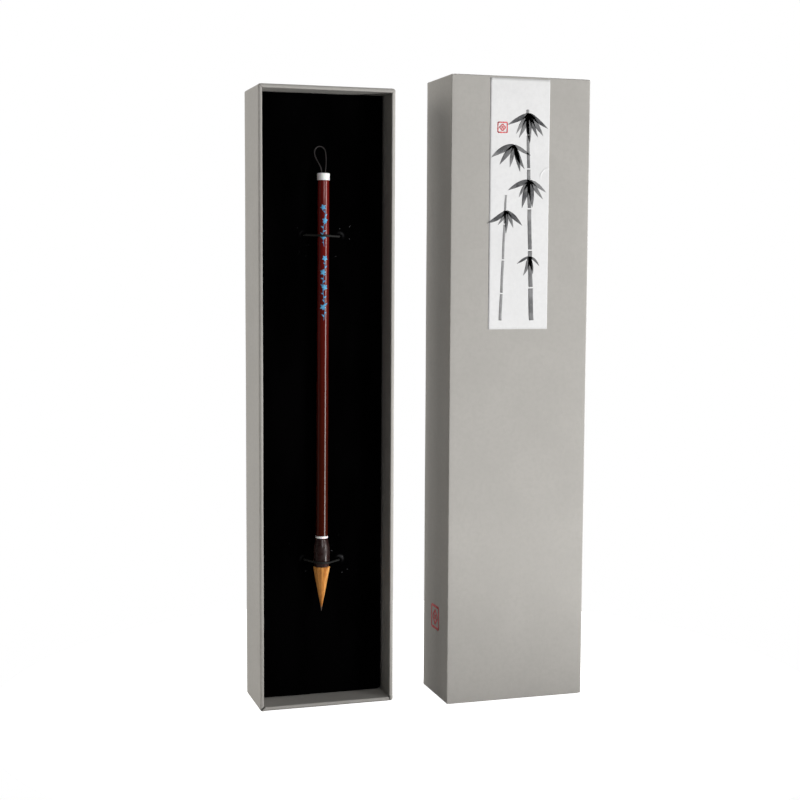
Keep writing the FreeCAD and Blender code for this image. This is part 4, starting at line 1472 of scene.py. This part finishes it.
def ferrule_outline():
    """Socket for the hair, a wall drawn in a little at its lip, a bell that closes in on the ring as a sine,
    and the bore for the barrel's tenon."""
    heights, radii = along_brush("brush_ferrule")
    swell = heights[radii.argmax()]
    neck = brush_radius("brush_ferrule", FERRULE_TOP)
    lip, lip_reach, edge = 0.45 * MM, 3 * MM, 0.18 * MM
    height = np.linspace(MOUTH, FERRULE_TOP, 44)[1:-1]
    closing = np.clip((FERRULE_TOP - height) / (FERRULE_TOP - swell), 0, 1)
    wall = neck + (FERRULE_RADIUS - neck) * np.sin(closing * np.pi / 2) ** 1.25
    wall = wall - lip * (1 - smooth_step(MOUTH, MOUTH + lip_reach, height))
    socket = [[ROOT_TOP + GLUE, SOCKET_RADIUS], [MOUTH + edge, SOCKET_RADIUS],
              [MOUTH, (SOCKET_RADIUS + FERRULE_RADIUS - lip) / 2]]
    tenon = [[FERRULE_TOP, neck - edge], [FERRULE_TOP, TENON_RADIUS + GLUE],
             [TENON_FOOT - GLUE, TENON_RADIUS + GLUE]]
    return np.vstack([socket, np.column_stack([height, wall]), tenon])


# Flower sprays: foot, length, sway of the stem, and the blossoms' heights above the foot
SPRAYS = [
    (0, 31, 0.55, (6.5, 16.5, 24.0, 31.0)),
    (37, 19.5, -0.5, (5.0, 13.0, 19.5)),
]


def spray_strokes(rng):
    """Two flower sprays, one above the other, in millimetres from z 0 upwards and about x 0. Each has a thin
    stem that sways as a sine, small leaves on both sides, and blossoms of five petals."""
    wave, petal = 3.6, 1.6
    stems, leaves = [], []
    for foot, length, sway, blossoms in SPRAYS:
        ends = np.linspace(0, length, 13)
        stem = sway * np.sin(ends / wave)
        stems += [((x, foot + z), (x_next, foot + z_next + 0.1), 0.2, 0.0, 0.25)
                  for x, z, x_next, z_next in zip(stem, ends, stem[1:], ends[1:])]
        for count, z in enumerate(np.arange(1.5, length - 1, 1.9)):
            side, reach = (1 if count % 2 else -1), rng.uniform(1.0, 1.9)
            x = sway * math.sin(z / wave)
            tip = (x + side * 0.8 * reach, foot + z + reach * rng.uniform(0.35, 0.9))
            leaves.append(((x, foot + z), tip, 0.42 * reach, 0.15 * side, rng.uniform(0, 0.6)))
        for count, z in enumerate(blossoms):
            x, z = (0.5 if count % 2 else -0.5), foot + z
            for angle in rng.uniform(0, 1) + np.arange(5) * 2 * math.pi / 5:
                tip = (x + petal * math.sin(angle), z + petal * math.cos(angle))
                leaves.append(((x, z), tip, 1.0, 0.0, rng.uniform(0.3, 1.0)))
    return stems, leaves


class GIFTBOX_OT_brush_handle(bpy.types.Operator):
    """Lacquered barrel with painted flower sprays, white cap and ring, and dark horn ferrule"""
    bl_idname = "giftbox.brush_handle"
    bl_label = "Brush handle"
    sprays_foot = 150 * MM
    sprays_turn = math.radians(-95)
    sprays_clear = 0.04 * MM

    def execute(self, context):
        brush = context.scene.gift_box_brush
        step = context.scene.gift_box_paper.mark_step
        trim = trim_finish("white_trim", brush.trim)
        for name, outline, ring, slot, finish in (
            ("barrel", barrel_outline(), False, "lacquer", lacquer_finish("lacquer", brush.lacquer)),
            ("cap", cap_outline(), True, "white_trim", trim),
            ("ring", ring_outline(), True, "white_trim", trim),
            ("ferrule", ferrule_outline(), False, "dark_horn", horn_finish("horn", brush.horn)),
        ):
            surface = lathe(outline, sides=80, ring=ring)
            surface.points = on_brush(surface.points)
            make_piece("brush_" + name + "_turned", surface, "brush", slot, finish,
                       replaces=["brush_" + name], weld=ring, sharp=38)

        def on_barrel(flat):
            height = flat[:, 1] + self.sprays_foot
            radius = barrel_radius(height) + self.sprays_clear + step
            angle = self.sprays_turn + flat[:, 0] / radius
            return on_brush(np.column_stack([radius * np.cos(angle), radius * np.sin(angle), height]))

        sprays = plant_surface(*spray_strokes(np.random.default_rng(5)), 10, on_barrel)
        blue = ink_finish("blue_paint", brush.motif, toned(brush.motif, (2.2, 1.5, 1.25)))
        make_piece("barrel_sprays", sprays, "brush", "lacquer", blue, thickness=step)
        return {"FINISHED"}


def tuft_radius(share, brush):
    """Radius of the tuft from its tip, share 0, to the mouth, share 1: a cone with a slimmer point, drawn in
    where it goes into the ferrule."""
    slimmer, point_reach, drawn_in = 0.45, 0.13, 0.19
    point = 1 - slimmer * bell(share, point_reach)
    return brush.belly * share * point * (1 - drawn_in * smooth_step(0.984, 1.004, share))


def lock_surface(brush, rng):
    """Locks of hair as slim three-sided tapers that run down the tuft from just inside its mouth and close in
    on its tip; those of a clump are of about the same shade."""
    count, sides, clumps, root = brush.strands, 3, 34, 1.02
    angle = rng.uniform(0, 2 * np.pi, count)
    level = np.sqrt(rng.uniform(0.55, 1.0, count))
    end = rng.choice([0.0, 1.0], count, p=[0.62, 0.38]) * rng.uniform(0.0, 0.3, count)
    clump = rng.uniform(0, 1, clumps)[(angle / (2 * np.pi) * clumps).astype(int)]
    tone = np.clip(clump + rng.normal(0, 0.16, count), 0, 1)
    thick = rng.uniform(0.09, 0.2, count) * MM
    drift = rng.normal(0, 0.26, count)
    t = np.concatenate([[0, 0.016, 0.026, 0.036, 0.06], np.linspace(0.13, 1, 8)])
    share = root - (root - end[:, None]) * t
    radius = tuft_radius(np.maximum(share, 0), brush) * level[:, None] * (1 - 0.06 * t ** 3)
    around = angle[:, None] + drift[:, None] * t * (1 - t) * 2
    out = np.stack([np.cos(around), np.sin(around), np.zeros_like(around)], axis=-1)
    side = np.stack([-np.sin(around), np.cos(around), np.zeros_like(around)], axis=-1)
    middle = radius[..., None] * out + share[..., None] * [0, 0, MOUTH]
    corner = np.arange(sides) * 2 * np.pi / sides
    slim = (thick[:, None] * (1 - t) ** 0.6 * (0.35 + 0.65 * share) + 0.012 * MM)[..., None, None]
    ring = np.cos(corner)[:, None] * out[:, :, None] + np.sin(corner)[:, None] * side[:, :, None]
    points = middle[:, :, None] + slim * ring
    one = grid(points[0], wrap=True, close=True, flip=True, v=t)
    tips = np.stack([points[:, 0].mean(axis=1), points[:, -1].mean(axis=1)], axis=1)
    flat = np.concatenate([points.reshape(count, -1, 3), tips], axis=1).reshape(-1, 3)
    places = []
    for place in one.places:
        high = root - (root - end[:, None, None]) * place[..., 1]
        both = np.stack([np.broadcast_to(tone[:, None, None], high.shape), high], axis=-1)
        places.append(both.reshape(-1, place.shape[1], 2))
    return Surface(flat, repeated(one, count), places)


def hair_core(brush):
    """Dense inside of the tuft, with its root in the ferrule and a groove for the binding thread."""
    within, shade = 0.9, 0.12
    share = np.concatenate([[0.012], np.linspace(0.03, 0.95, 34)])
    cone = np.column_stack([share * MOUTH, within * tuft_radius(share, brush)])
    root = [[MOUTH, ROOT_RADIUS], [THREAD_LOW, ROOT_RADIUS], [THREAD_LOW, THREAD_INNER],
            [THREAD_HIGH, THREAD_INNER], [THREAD_HIGH, ROOT_RADIUS], [ROOT_TOP, ROOT_RADIUS]]
    outline = np.vstack([cone, root])
    core = lathe(outline, sides=48, v=outline[:, 0] / MOUTH)
    core.places = [np.stack([np.full_like(place[..., 0], shade), place[..., 1]], axis=-1)
                   for place in core.places]
    return core


class GIFTBOX_OT_hair(bpy.types.Operator):
    """Tuft of brown hair: a dense core with separate locks over it, drawn to a fine tip, and its binding"""
    bl_idname = "giftbox.hair"
    bl_label = "Hair"

    def execute(self, context):
        brush = context.scene.gift_box_brush
        surface = joined([hair_core(brush), lock_surface(brush, np.random.default_rng(3))])
        surface.points = on_brush(surface.points)
        make_piece("hair_locks", surface, "brush", "hair", hair_finish("hair", brush.hair, brush.hair_tip),
                   replaces=["hair_tuft"])
        thin, wound = (THREAD_OUTER - THREAD_INNER) / 2, THREAD_HIGH - THREAD_LOW
        middle = (0, 0, (THREAD_LOW + THREAD_HIGH) / 2)
        coil = helix(middle, 2, THREAD_INNER + thin, wound / (2 * thin) - 1, 2 * thin)
        thread = tube(coil, thin, np.array([0.0, 0.0, 1.0]))
        thread.points = on_brush(thread.points)
        make_piece("binding_thread", thread, "brush", "thread", yarn_finish("thread", brush.thread),
                   replaces=["hair_thread"])
        return {"FINISHED"}


class GIFTBOX_PT_panel(bpy.types.Panel):
    """Lists the steps that dress the gift box"""
    bl_idname = "GIFTBOX_PT_panel"
    bl_label = "Gift box"
    bl_space_type = "VIEW_3D"
    bl_region_type = "UI"
    bl_category = "Gift box"

    def draw(self, context):
        for step in STEPS:
            self.layout.operator(step.bl_idname)


STEPS = (
    GIFTBOX_OT_stage,
    GIFTBOX_OT_hanging_loop,
    GIFTBOX_OT_boxes,
    GIFTBOX_OT_label,
    GIFTBOX_OT_side_seal,
    GIFTBOX_OT_velvet_pad,
    GIFTBOX_OT_elastic_bands,
    GIFTBOX_OT_brush_handle,
    GIFTBOX_OT_hair,
)
SETTINGS = {
    "gift_box_paper": PaperSettings,
    "gift_box_insert": InsertSettings,
    "gift_box_brush": BrushSettings,
    "gift_box_stage": StageSettings,
}


def register():
    for kind in (*SETTINGS.values(), *STEPS, GIFTBOX_PT_panel):
        bpy.utils.register_class(kind)
    for name, kind in SETTINGS.items():
        setattr(bpy.types.Scene, name, PointerProperty(type=kind))


def unregister():
    for name in SETTINGS:
        delattr(bpy.types.Scene, name)
    for kind in (GIFTBOX_PT_panel, *reversed(STEPS), *SETTINGS.values()):
        bpy.utils.unregister_class(kind)


def main():
    register()
    bpy.ops.giftbox.stage()
    bpy.ops.giftbox.hanging_loop()
    bpy.ops.giftbox.boxes()
    bpy.ops.giftbox.label()
    bpy.ops.giftbox.side_seal()
    bpy.ops.giftbox.velvet_pad()
    bpy.ops.giftbox.elastic_bands()
    bpy.ops.giftbox.brush_handle()
    bpy.ops.giftbox.hair()


if __name__ == "__main__":
    main()
